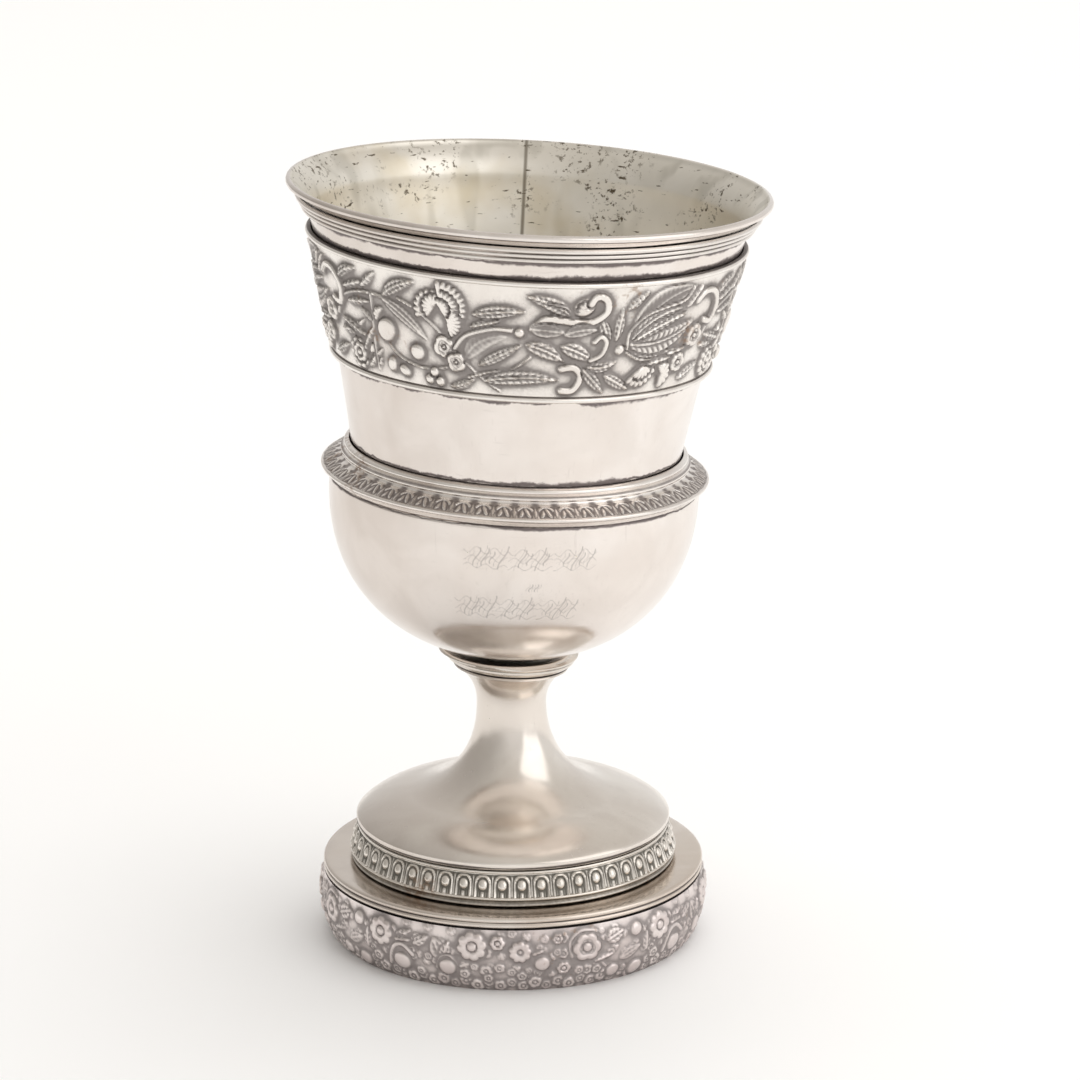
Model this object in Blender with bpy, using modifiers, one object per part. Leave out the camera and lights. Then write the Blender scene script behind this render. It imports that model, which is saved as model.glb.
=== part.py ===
"""Silver presentation goblet with flower bands, standing on its foot, in metres with +Z up.

The cup, its mouldings, the stem and the foot are separate pieces of wrought silver, soldered together.
Every piece is turned about one upright axis. The cup then leans, because it has been knocked to one side
on its stem.
"""

import math

import bmesh
import bpy

# Fits between pieces
JOINT_GAP = 0.0003
SHEET = 0.0008

# Foot flower band, the rolled wall that the goblet stands on
FOOT_BAND_HEIGHT = 0.0143
FOOT_BAND_RADIUS = 0.0418
FOOT_BAND_BASE_RADIUS = 0.0392
FOOT_BAND_TOP_RADIUS = 0.0413
FOOT_BAND_WALL = 0.0016
FOOT_BULGE_SHARE = 0.64
FOOT_RELIEF = 0.0009
FOOT_REPEATS = 4

# Foot step, a flat plate with two threads round its turned-down edge
STEP_RADIUS = 0.0414
STEP_HEIGHT = 0.0024
STEP_EDGE = 0.0017
THREAD_DEPTH = 0.0005
FOOT_OPENING_RADIUS = 0.0325

# Egg band under the dome of the foot
EGG_BAND_HEIGHT = 0.0074
EGG_BAND_TOP_RADIUS = 0.0338
EGG_BAND_LOWER_RADIUS = 0.0354
EGG_BAND_FILLET = 0.0008
EGG_BAND_COVE = 0.0018
EGG_COUNT = 52
EGG_RISE = 0.0008

# Stem and dome
STEM_AND_DOME_HEIGHT = 0.0356
DOME_RADIUS = 0.0341
DOME_EDGE = 0.0013
DOME_CROWN_RADIUS = 0.0225
DOME_CROWN_HEIGHT = 0.0066
NECK_RADIUS = 0.00755
NECK_HEIGHT = 0.0265
STEM_TOP_RADIUS = 0.0127

# Collar between the stem and the cup
COLLAR_RADIUS = 0.0146
COLLAR_FOOT_RADIUS = 0.0131
COLLAR_HEIGHT = 0.0021
COLLAR_EDGE = 0.0006

# Cup, from the round lower bowl to the flared lip
LOWER_BOWL_RADIUS = 0.0395
LOWER_BOWL_DEPTH = 0.0373
LOWER_BOWL_FULLNESS = 2.25
SHOULDER_ROUNDING = 0.0001
SHOULDER_RISE = 0.0011
LEDGE_WIDTH = 0.0043
LEDGE_RISE = 0.0033
WAIST_HEIGHT = 0.0041
WAIST_FLARE = 0.0002
CUP_WALL_HEIGHT = 0.0480
CUP_TOP_RADIUS = 0.0459
CUP_WALL_HOLLOW = 0.00066
LIP_RADIUS = 0.0511
LIP_HEIGHT = 0.0073
LIP_CURL = 2.4

# Girdle of reeds and tongues, seated on the shoulder of the cup
GIRDLE_OVERHANG = 0.00185
GIRDLE_REED = 0.0009
GIRDLE_REEDS_HEIGHT = 0.0035
GIRDLE_EDGE = 0.0007
TONGUE_DROP = 0.0020
TONGUE_COUNT = 57
TONGUE_RISE = 0.0006

# Reeding under the lip
REEDING_RISE = 0.0016
REEDING_HEIGHT = 0.0032
REEDING_THICKNESS = 0.0010

# Flower band round the cup
BAND_RISE = 0.0190
BAND_HEIGHT = 0.0264
BAND_WALL = 0.0008
BAND_BEAD = 0.0013
BAND_RELIEF = 0.0009
BAND_REPEATS = 3

# Lean of the cup about a point inside it, and the drift of the stem under it
LEAN = math.radians(3.0)
LEAN_POINT_SHARE = 0.77
STEM_DRIFT = 0.0004

TURN_STEPS = 32
COLLAR_STEPS = 24

# The least angle in degrees that stays a sharp edge on the carved bands
CARVED_CREASE = 12

# Radii of the cup from its shoulder up to its tapered wall
SHOULDER_RADIUS = LOWER_BOWL_RADIUS - SHOULDER_ROUNDING
WAIST_RADIUS = SHOULDER_RADIUS - LEDGE_WIDTH
CUP_FOOT_RADIUS = WAIST_RADIUS + WAIST_FLARE

# Heights of the pieces, each standing on the one below
STEP_BASE = FOOT_BAND_HEIGHT + JOINT_GAP
EGG_BASE = STEP_BASE + STEP_HEIGHT + JOINT_GAP
DOME_BASE = EGG_BASE + EGG_BAND_HEIGHT + JOINT_GAP
STEM_TOP = DOME_BASE + STEM_AND_DOME_HEIGHT
COLLAR_BASE = STEM_TOP + JOINT_GAP
COLLAR_TOP = COLLAR_BASE + COLLAR_HEIGHT
BOWL_BASE = COLLAR_TOP + JOINT_GAP
BOWL_WIDEST = BOWL_BASE + LOWER_BOWL_DEPTH
SHOULDER = BOWL_WIDEST + SHOULDER_RISE
WAIST = SHOULDER + LEDGE_RISE
CUP_FOOT = WAIST + WAIST_HEIGHT
CUP_TOP = CUP_FOOT + CUP_WALL_HEIGHT
LIP = CUP_TOP + LIP_HEIGHT

# The lean carries the lip sideways, so the foot stands off-centre and the whole is centred over the origin
LEAN_POINT = BOWL_BASE + LEAN_POINT_SHARE * LOWER_BOWL_DEPTH
AXIS_X = -(LIP - LEAN_POINT) * math.sin(LEAN)
DRIFT_BASE = DOME_BASE + DOME_EDGE + DOME_CROWN_HEIGHT

# Motifs of the flower band in one repeat: degrees along, share of the height up, length and width as shares
# of the height, and turn in degrees
BAND_LEAVES = (
    (-55.0, 0.84, 0.46, 0.20, 20),
    (-52.5, 0.58, 0.46, 0.14, 26),
    (-34.5, 0.85, 0.50, 0.18, 18),
    (-33.5, 0.56, 0.60, 0.20, -34),
    (-19.5, 0.77, 0.50, 0.32, 40),
    (-9.5, 0.48, 0.50, 0.20, 26),
    (-4.5, 0.80, 0.46, 0.19, 10),
    (-5.0, 0.19, 0.50, 0.20, 16),
    (10.0, 0.72, 0.60, 0.22, -4),
    (11.5, 0.30, 0.56, 0.22, -20),
    (25.5, 0.70, 0.36, 0.15, 80),
    (38.0, 0.88, 0.50, 0.16, 12),
    (40.0, 0.56, 0.66, 0.34, 24),
    (38.5, 0.17, 0.64, 0.24, -8),
    (55.5, 0.78, 0.44, 0.26, -22),
)

# Flowers of the flower band: degrees along, share of the height up, radius as a share of it, and petals
BAND_FLOWERS = (
    (-52.0, 0.21, 0.17, 5),
    (-34.0, 0.18, 0.13, 5),
    (-19.5, 0.28, 0.16, 5),
    (55.5, 0.36, 0.14, 5),
)

# Motifs of the foot flower band in one repeat, in the same terms
FOOT_LEAVES = (
    (-26.0, 0.62, 0.40, 0.22, 70),
    (34.0, 0.58, 0.50, 0.30, 30),
)

FOOT_FLOWERS = (
    (-39.0, 0.60, 0.25, 5),
    (-13.0, 0.64, 0.24, 5),
    (3.5, 0.56, 0.24, 5),
    (20.0, 0.60, 0.26, 5),
)

for old in list(bpy.data.objects):
    bpy.data.objects.remove(old)

goblet = bpy.data.collections.new("silver_goblet")
bpy.context.scene.collection.children.link(goblet)
cutters = bpy.data.collections.new("cutters")
bpy.context.scene.collection.children.link(cutters)


def silver(name, color, roughness):
    material = bpy.data.materials.new(name)
    material.use_nodes = True
    shader = material.node_tree.nodes["Principled BSDF"]
    shader.inputs["Base Color"].default_value = (*color, 1.0)
    shader.inputs["Metallic"].default_value = 1.0
    shader.inputs["Roughness"].default_value = roughness
    return material


def turned(name, profile, steps=TURN_STEPS, ring=True):
    """Turns the profile, pairs of radius and height, about the axis. A ring's profile is closed."""
    mesh = bpy.data.meshes.new(name)
    count = len(profile)
    edges = [(i, (i + 1) % count) for i in range(count if ring else count - 1)]
    mesh.from_pydata([(radius, 0.0, height) for radius, height in profile], edges, [])
    obj = bpy.data.objects.new(name, mesh)
    goblet.objects.link(obj)
    screw = obj.modifiers.new("turn", "SCREW")
    screw.steps = steps
    screw.render_steps = steps
    screw.use_merge_vertices = True
    screw.merge_threshold = 0.00001
    return obj


def shell(obj):
    """Gives a turned open surface its wall, on the inside."""
    wall = obj.modifiers.new("wall", "SOLIDIFY")
    wall.thickness = SHEET
    wall.offset = -1.0
    wall.use_even_offset = True


def applied(obj):
    """Applies the object's modifiers and returns its mesh."""
    bpy.context.view_layer.update()
    mesh = bpy.data.meshes.new_from_object(obj.evaluated_get(bpy.context.evaluated_depsgraph_get()))
    obj.modifiers.clear()
    obj.data = mesh
    return mesh


def smooth_step(value):
    t = min(max(value, 0.0), 1.0)
    return t * t * (3 - 2 * t)


def settled(x, y, z):
    """Where the knock has carried a point of the straight goblet."""
    if z > COLLAR_TOP + JOINT_GAP / 2:
        rise = z - LEAN_POINT
        across = x * math.cos(LEAN) + rise * math.sin(LEAN)
        return across + AXIS_X, y, LEAN_POINT + rise * math.cos(LEAN) - x * math.sin(LEAN)
    share = smooth_step((z - DRIFT_BASE) / (STEM_TOP - DRIFT_BASE))
    return x + AXIS_X - STEM_DRIFT * share, y, z - x * math.sin(LEAN) * share


def finish(obj, material, crease=35):
    """Sets the piece in its place on the leaning goblet and gives it its silver."""
    mesh = applied(obj)
    for vertex in mesh.vertices:
        vertex.co = settled(*vertex.co)
    mesh.materials.clear()
    mesh.materials.append(material)
    mesh.shade_smooth()
    mesh.set_sharp_from_angle(angle=math.radians(crease))


def bowed(start, end, bow_start, bow_end, points):
    """Points after start, up to and with end, along a curve drawn by two bow points."""
    curve = []
    for i in range(1, points + 1):
        t = i / points
        weights = ((1 - t) ** 3, 3 * t * (1 - t) ** 2, 3 * t * t * (1 - t), t**3)
        knots = (start, bow_start, bow_end, end)
        curve.append(tuple(sum(w * knot[axis] for w, knot in zip(weights, knots)) for axis in range(2)))
    return curve


def cup_outside(height):
    """Outside radius of the tapered wall, hollowed a little, and of the lip that flares above it."""
    t = min(max((height - CUP_FOOT) / CUP_WALL_HEIGHT, 0.0), 1.0)
    radius = CUP_FOOT_RADIUS + (CUP_TOP_RADIUS - CUP_FOOT_RADIUS) * t - 4 * CUP_WALL_HOLLOW * t * (1 - t)
    if height <= CUP_TOP:
        return radius
    t = min((height - CUP_TOP) / LIP_HEIGHT, 1.0)
    taper = (CUP_TOP_RADIUS - CUP_FOOT_RADIUS + 4 * CUP_WALL_HOLLOW) / CUP_WALL_HEIGHT * LIP_HEIGHT
    return CUP_TOP_RADIUS + taper * t + (LIP_RADIUS - CUP_TOP_RADIUS - taper) * t**LIP_CURL


# Cup: one vessel, with the flared lip, the tapered wall, the shoulder and the round lower bowl
LIP_POINTS = 3
WALL_POINTS = 2
BOWL_POINTS = 6
cup_profile = []
for i in range(LIP_POINTS):
    height = LIP - LIP_HEIGHT * i / LIP_POINTS
    cup_profile.append((cup_outside(height), height))
for i in range(WALL_POINTS + 1):
    height = CUP_TOP - CUP_WALL_HEIGHT * i / WALL_POINTS
    cup_profile.append((cup_outside(height), height))
cup_profile.append((WAIST_RADIUS, WAIST))
cup_profile.append((SHOULDER_RADIUS, SHOULDER))
for i in range(BOWL_POINTS):
    turn = math.radians(90) * (0.15 + 0.85 * i / BOWL_POINTS)
    drop = math.sin(turn)
    radius = LOWER_BOWL_RADIUS * (1 - drop**LOWER_BOWL_FULLNESS) ** (1 / LOWER_BOWL_FULLNESS)
    cup_profile.append((radius, BOWL_WIDEST - LOWER_BOWL_DEPTH * drop))
cup_profile.append((0.25 * LOWER_BOWL_RADIUS, BOWL_BASE))
cup_profile.append((0.0, BOWL_BASE))
bowl = turned("bowl", cup_profile, ring=False)
shell(bowl)
finish(bowl, silver("bowl_silver", (0.86, 0.83, 0.79), 0.22))

# Reeding: two half-round wires in one strip, soldered under the flared lip
reeding_base = CUP_TOP + REEDING_RISE
reeding_profile = []
for up, crest in ((0.9, 1.0), (0.5, 0.4), (0.1, 1.0)):
    height = reeding_base + REEDING_HEIGHT * up
    reeding_profile.append((cup_outside(height) + JOINT_GAP + crest * REEDING_THICKNESS, height))
reeding_profile.append((cup_outside(reeding_base) + JOINT_GAP, reeding_base))
reeding_top = reeding_base + REEDING_HEIGHT
reeding_profile.append((cup_outside(reeding_top) + JOINT_GAP, reeding_top))
lip_reeding = turned("lip_reeding", reeding_profile)
finish(lip_reeding, silver("lip_reeding_silver", (0.78, 0.75, 0.72), 0.28))


def leaf(motifs, place, length, width, rise, sink, turn):
    """Adds a pointed leaf with a raised midrib. It starts under the ground, so it is drawn that much larger."""
    grow = 1 + sink / rise
    edge = ((-0.50, 0.0), (-0.14, 0.50), (0.26, 0.36), (0.50, 0.0), (0.26, -0.36), (-0.14, -0.50))
    points = [(x * length * grow, y * width * grow, -sink) for x, y in edge]
    points += [(-0.26 * length, 0.0, rise), (0.22 * length, 0.0, 0.8 * rise), (0.0, 0.0, -1.2 * sink)]
    corners = [motifs.verts.new(point) for point in points]
    bmesh.ops.convex_hull(motifs, input=corners)
    cos, sin = math.cos(math.radians(turn)), math.sin(math.radians(turn))
    for corner in corners:
        x, y, z = corner.co
        corner.co = place(x * cos - y * sin, x * sin + y * cos, z)


def flower(motifs, place, radius, petals, rise, sink):
    """Adds a flower, a low blunt cone with a lobed edge."""
    made = bmesh.ops.create_cone(motifs, cap_ends=True, segments=2 * petals, radius1=radius,
                                 radius2=radius / 2, depth=rise + sink)
    for vertex in made["verts"]:
        x, y, z = vertex.co
        column = round(math.atan2(y, x) / math.radians(180 / petals))
        notch = 0.72 if column % 2 else 1.0
        vertex.co = place(x * notch, y * notch, z + (rise - sink) / 2)


def carve(ring, leaves, flowers, repeats, base, height, ground, rise, sink):
    """Joins the leaves and flowers of every repeat to a turned ring with this ground radius at each height."""
    motifs = bmesh.new()

    def place_at(degrees, up):
        def place(x, y, lift):
            at = base + up * height + y
            radius = ground(at)
            angle = math.radians(degrees) + x / radius
            return (radius + lift) * math.sin(angle), -(radius + lift) * math.cos(angle), at
        return place

    for repeat in range(repeats):
        start = 360 / repeats * repeat
        for along, up, length, width, turn in leaves:
            leaf(motifs, place_at(along + start, up), length * height, width * height, rise, sink, turn)
        for along, up, radius, petals in flowers:
            flower(motifs, place_at(along + start, up), radius * height, petals, rise, sink)
    bmesh.ops.recalc_face_normals(motifs, faces=motifs.faces)
    mesh = bpy.data.meshes.new(ring.name + "_motifs")
    motifs.to_mesh(mesh)
    motifs.free()
    relief = bpy.data.objects.new(ring.name + "_motifs", mesh)
    cutters.objects.link(relief)
    relief.hide_render = True
    relief.display_type = "WIRE"
    union = ring.modifiers.new("relief", "BOOLEAN")
    union.operation = "UNION"
    union.solver = "EXACT"
    union.use_self = True
    union.object = relief


# Flower band: a rolled strip round the cup, with a bead along each edge and leaves and flowers between
band_base = CUP_FOOT + BAND_RISE
band_top = band_base + BAND_HEIGHT
ground_base = band_base + BAND_BEAD
ground_top = band_top - BAND_BEAD
ground_height = ground_top - ground_base


def band_ground(height):
    """Outside radius of the band's ground, straight from its lower bead to its upper one."""
    t = (height - ground_base) / ground_height
    low, high = cup_outside(ground_base), cup_outside(ground_top)
    return low + (high - low) * t + JOINT_GAP + BAND_WALL


band_profile = [
    (band_ground(band_top) + 0.5 * BAND_RELIEF, band_top),
    (band_ground(ground_top) + 0.5 * BAND_RELIEF, ground_top + 0.2 * BAND_BEAD),
    (band_ground(ground_top), ground_top),
    (band_ground(ground_base), ground_base),
    (band_ground(ground_base) + 0.5 * BAND_RELIEF, ground_base - 0.2 * BAND_BEAD),
    (band_ground(band_base) + 0.5 * BAND_RELIEF, band_base),
    (cup_outside(band_base) + JOINT_GAP, band_base),
    (cup_outside(band_top) + JOINT_GAP, band_top),
]
flower_band = turned("flower_band", band_profile)
carve(flower_band, BAND_LEAVES, BAND_FLOWERS, BAND_REPEATS, ground_base, ground_height, band_ground,
      BAND_RELIEF, BAND_WALL / 3)
finish(flower_band, silver("flower_band_silver", (0.62, 0.59, 0.56), 0.34), CARVED_CREASE)


def row_of(mesh_edit, low, high, inside):
    """The outer faces whose middles lie between two heights and outside this radius."""
    found = []
    for face in mesh_edit.faces:
        x, y, z = face.calc_center_median()
        if low < z < high and math.hypot(x, y) > inside:
            found.append(face)
    return found


def peaked(obj, low, high, inside, rise):
    """Raises the middle of every face in a row of a turned ring."""
    mesh = applied(obj)
    mesh_edit = bmesh.new()
    mesh_edit.from_mesh(mesh)
    bmesh.ops.poke(mesh_edit, faces=row_of(mesh_edit, low, high, inside), offset=rise)
    mesh_edit.to_mesh(mesh)
    mesh_edit.free()


# Girdle: two reeds above a row of tongues and a plain edge, seated on the shoulder of the cup
girdle_foot = SHOULDER + JOINT_GAP
reeds_top = CUP_FOOT
reeds_base = reeds_top - GIRDLE_REEDS_HEIGHT
edge_top = reeds_base - TONGUE_DROP
girdle_radius = LOWER_BOWL_RADIUS + GIRDLE_OVERHANG
reeds_radius = CUP_FOOT_RADIUS + JOINT_GAP + GIRDLE_REED
girdle_profile = [
    (reeds_radius, reeds_top),
    (reeds_radius + 0.9 * GIRDLE_REED, reeds_base + 0.25 * GIRDLE_REEDS_HEIGHT),
    (reeds_radius + 1.4 * GIRDLE_REED, reeds_base),
    (girdle_radius, edge_top),
    (girdle_radius - 0.2 * GIRDLE_EDGE, edge_top - GIRDLE_EDGE),
    (SHOULDER_RADIUS + JOINT_GAP, girdle_foot),
    (WAIST_RADIUS + 1.2 * JOINT_GAP, WAIST + JOINT_GAP),
    (CUP_FOOT_RADIUS + JOINT_GAP, reeds_top),
]
girdle = turned("girdle", girdle_profile, TONGUE_COUNT)
peaked(girdle, edge_top, reeds_base, reeds_radius + 1.4 * GIRDLE_REED, TONGUE_RISE)
finish(girdle, silver("girdle_silver", (0.60, 0.57, 0.54), 0.34), CARVED_CREASE)

# Collar: a moulded ring on the stem, which carries the bottom of the cup
collar_profile = [
    (0.0, COLLAR_TOP),
    (COLLAR_RADIUS - COLLAR_EDGE / 2, COLLAR_TOP),
    (COLLAR_RADIUS, COLLAR_TOP - COLLAR_EDGE),
    (COLLAR_FOOT_RADIUS, COLLAR_BASE),
    (0.0, COLLAR_BASE),
]
collar = turned("collar", collar_profile, COLLAR_STEPS, ring=False)
finish(collar, silver("collar_silver", (0.74, 0.71, 0.68), 0.26))

# Stem and dome: one raised piece, hollow from below, from the trumpet neck to the edge of the dome
stem_corner = (STEM_TOP_RADIUS, STEM_TOP)
neck = (NECK_RADIUS, DOME_BASE + NECK_HEIGHT)
crown = (DOME_CROWN_RADIUS, DOME_BASE + DOME_CROWN_HEIGHT)
dome_corner = (DOME_RADIUS, DOME_BASE + DOME_EDGE)
flare_height = STEM_TOP - neck[1]
dome_width = DOME_RADIUS - DOME_CROWN_RADIUS
dome_fall = crown[1] - dome_corner[1]
stem_profile = [(0.0, STEM_TOP), stem_corner]
stem_profile += bowed(stem_corner, neck, (1.17 * NECK_RADIUS, STEM_TOP - 0.33 * flare_height),
                      (NECK_RADIUS, neck[1] + 0.385 * flare_height), 2)
stem_profile += bowed(neck, crown, (NECK_RADIUS, neck[1] - 0.4 * NECK_HEIGHT),
                      (0.58 * DOME_CROWN_RADIUS, crown[1] + 0.36 * DOME_CROWN_HEIGHT), 5)
stem_profile += bowed(crown, dome_corner, (DOME_CROWN_RADIUS + 0.43 * dome_width, crown[1] - 0.19 * dome_fall),
                      (DOME_RADIUS - 0.19 * dome_width, dome_corner[1] + 0.45 * dome_fall), 2)
stem_profile.append((DOME_RADIUS, DOME_BASE))
stem_and_dome = turned("stem_and_dome", stem_profile, ring=False)
shell(stem_and_dome)
finish(stem_and_dome, silver("stem_silver", (0.80, 0.76, 0.72), 0.22))

# Egg band: an upright moulding with a row of eggs over a small cove, between the dome and the step
egg_band_top = EGG_BASE + EGG_BAND_HEIGHT
eggs_top = egg_band_top - EGG_BAND_FILLET
eggs_base = EGG_BASE + EGG_BAND_COVE
egg_profile = [
    (EGG_BAND_TOP_RADIUS, egg_band_top),
    (EGG_BAND_TOP_RADIUS, eggs_top),
    (EGG_BAND_LOWER_RADIUS, eggs_base),
    (EGG_BAND_LOWER_RADIUS - 0.3 * EGG_BAND_COVE, EGG_BASE + 0.4 * EGG_BAND_COVE),
    (EGG_BAND_LOWER_RADIUS, EGG_BASE),
    (FOOT_OPENING_RADIUS, EGG_BASE),
    (FOOT_OPENING_RADIUS, egg_band_top),
]
egg_band = turned("egg_band", egg_profile, EGG_COUNT)
peaked(egg_band, eggs_base, eggs_top, FOOT_OPENING_RADIUS + JOINT_GAP, EGG_RISE)
finish(egg_band, silver("egg_band_silver", (0.60, 0.58, 0.54), 0.34), CARVED_CREASE)

# Foot step: a flat plate whose edge is turned down and carries two threads
step_top = STEP_BASE + STEP_HEIGHT
step_profile = [
    (STEP_RADIUS, step_top),
    (STEP_RADIUS - THREAD_DEPTH, STEP_BASE + STEP_HEIGHT / 2),
    (STEP_RADIUS, STEP_BASE),
    (STEP_RADIUS - STEP_EDGE, STEP_BASE),
    (STEP_RADIUS - STEP_EDGE, step_top - SHEET),
    (FOOT_OPENING_RADIUS, step_top - SHEET),
    (FOOT_OPENING_RADIUS, step_top),
]
foot_step = turned("foot_step", step_profile)
finish(foot_step, silver("foot_step_silver", (0.76, 0.72, 0.67), 0.24))


def foot_ground(height):
    """Outside radius of the foot flower band's ground, which bulges above its middle."""
    t = min(max(height / FOOT_BAND_HEIGHT, 0.0), 1.0)
    if t > FOOT_BULGE_SHARE:
        share = (t - FOOT_BULGE_SHARE) / (1 - FOOT_BULGE_SHARE)
        return FOOT_BAND_RADIUS - (FOOT_BAND_RADIUS - FOOT_BAND_TOP_RADIUS) * share**2
    share = (FOOT_BULGE_SHARE - t) / FOOT_BULGE_SHARE
    return FOOT_BAND_RADIUS - (FOOT_BAND_RADIUS - FOOT_BAND_BASE_RADIUS) * share**2


# Foot flower band: a rolled strip of flowers that bulges out and rests on the table
foot_profile = [(foot_ground(FOOT_BAND_HEIGHT * up), FOOT_BAND_HEIGHT * up) for up in (1.0, 0.7, 0.35, 0.0)]
foot_profile += [(foot_ground(FOOT_BAND_HEIGHT * up) - FOOT_BAND_WALL, FOOT_BAND_HEIGHT * up)
                 for up in (0.0, 0.4, 1.0)]
foot_band = turned("foot_flower_band", foot_profile)
carve(foot_band, FOOT_LEAVES, FOOT_FLOWERS, FOOT_REPEATS, 0.0, FOOT_BAND_HEIGHT, foot_ground,
      FOOT_RELIEF, FOOT_BAND_WALL / 4)
finish(foot_band, silver("foot_flower_band_silver", (0.60, 0.56, 0.54), 0.36), CARVED_CREASE)
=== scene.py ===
import math

import bmesh
import bpy
import numpy as np
from mathutils import Matrix, Vector


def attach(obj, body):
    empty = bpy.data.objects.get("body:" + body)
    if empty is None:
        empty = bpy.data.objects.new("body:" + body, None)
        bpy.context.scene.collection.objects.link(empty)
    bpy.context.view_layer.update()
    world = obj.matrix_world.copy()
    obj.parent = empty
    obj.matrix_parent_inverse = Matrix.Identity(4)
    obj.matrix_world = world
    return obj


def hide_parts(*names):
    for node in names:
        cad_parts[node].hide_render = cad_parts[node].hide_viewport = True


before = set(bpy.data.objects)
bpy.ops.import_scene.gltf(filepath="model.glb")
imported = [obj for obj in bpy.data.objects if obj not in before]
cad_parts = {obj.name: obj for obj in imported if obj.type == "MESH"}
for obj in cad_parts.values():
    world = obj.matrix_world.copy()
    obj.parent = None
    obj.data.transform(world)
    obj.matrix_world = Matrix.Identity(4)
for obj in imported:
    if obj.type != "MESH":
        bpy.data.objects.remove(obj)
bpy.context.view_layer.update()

# Foot flower band. The goblet stands on this strip of silver, cast or rolled with small flowers, fruit and
# leaves, bent round and soldered under the step. The flowers are rubbed bright and the ground has gone dark.
FOOT_AXIS = -3.788
LEAN, LEAN_POINT = 3.0, 92.02  # the cup's lean in degrees, and the height that it keeps its place at
CELL = 0.1  # of a relief sheet
FOOT_BAND_HEIGHT, FOOT_BAND_WALL, FOOT_RELIEF = 14.3, 1.6, 0.85
FOOT_REPEAT, FOOT_DEGREE = 90.0, 0.72  # degrees until the pattern comes again, and millimetres in a degree


def turned(profile, steps, ring=True, start=0.0, sweep=360.0):
    """The profile, pairs of radius and height in millimetres, spun round the goblet's own axis in degrees."""
    piece = bmesh.new()
    sin, cos = math.sin(math.radians(start)), math.cos(math.radians(start))
    points = [piece.verts.new((radius * sin, -radius * cos, height)) for radius, height in profile]
    edges = [piece.edges.new(pair) for pair in zip(points, points[1:])]
    if ring:
        edges.append(piece.edges.new((points[-1], points[0])))
    # A narrow sector is spun and then doubled round, because one long spin takes many times longer
    copies = 1
    while steps % 2 == 0 and steps > 40:
        steps, copies = steps // 2, copies * 2
    bmesh.ops.spin(piece, geom=points + edges, axis=(0, 0, 1), angle=math.radians(sweep / copies), steps=steps)
    share = 1
    while share < copies:
        more = bmesh.ops.duplicate(piece, geom=piece.verts[:] + piece.edges[:] + piece.faces[:])["geom"]
        bmesh.ops.rotate(piece, verts=[part for part in more if isinstance(part, bmesh.types.BMVert)],
                         cent=(0, 0, 0), matrix=Matrix.Rotation(math.radians(sweep * share / copies), 3, "Z"))
        share *= 2
    bmesh.ops.remove_doubles(piece, verts=piece.verts, dist=0.002)
    bmesh.ops.recalc_face_normals(piece, faces=piece.faces)
    return piece


def rows_at(radius_of, heights, out=0.0):
    """Profile points at the heights, outside a radius by so much."""
    return [(float(radius_of(height)) + out, height) for height in heights]


def sheet_of(width, height, degree=1.0, margin=0.0):
    """A flat sheet to chase a relief in, whose two ends meet. Its places are pairs: along, in units of so many
    millimetres, and down, in millimetres below the margin."""
    along, down = np.meshgrid(np.arange(0, width, CELL), np.arange(0, height + CELL, CELL))
    return {"along": along, "down": down, "width": width, "degree": degree, "margin": margin,
            "rise": np.zeros_like(along), "recess": np.zeros_like(along)}


def on(sheet, place):
    """The point on the sheet, in millimetres, that a place names."""
    return place[0] * sheet["degree"], place[1] + sheet["margin"]


def from_point(sheet, point, turn=0.0):
    """Millimetres along and across a tool that is held at a point of the sheet, turned by some degrees."""
    right = (sheet["along"] - point[0] + sheet["width"] / 2) % sheet["width"] - sheet["width"] / 2
    up = point[1] - sheet["down"]
    cos, sin = math.cos(math.radians(turn)), math.sin(math.radians(turn))
    return right * cos + up * sin, up * cos - right * sin


def from_line(sheet, start, end):
    """Millimetres along and across the line from one point of the sheet to another, and its length."""
    a, b = from_point(sheet, start, math.degrees(math.atan2(start[1] - end[1], end[0] - start[0])))
    return a, b, math.hypot(end[0] - start[0], end[1] - start[1])


def nearest(sheet, points):
    """How far every cell of the sheet is from a line through the points."""
    near = np.full_like(sheet["rise"], 99.0)
    for start, end in zip(points, points[1:]):
        a, b, length = from_line(sheet, start, end)
        near = np.minimum(near, np.hypot(a - np.clip(a, 0, length), b))
    return near


def lay(sheet, edge, rise, groove=0.30):
    """Lays a form over what is there. Edge is how far inside its outline a cell is, and a groove runs round it."""
    rest = np.minimum(sheet["rise"], 0.08 + 0.6 * np.maximum(-edge - groove / 2, 0))
    round_edge = np.sqrt(np.clip(edge / 0.42, 0, 1))
    around = np.where(edge > -groove, rest, sheet["rise"])
    sheet["rise"] = np.where(edge > 0, rise * (0.25 + 0.75 * round_edge), around)


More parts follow.
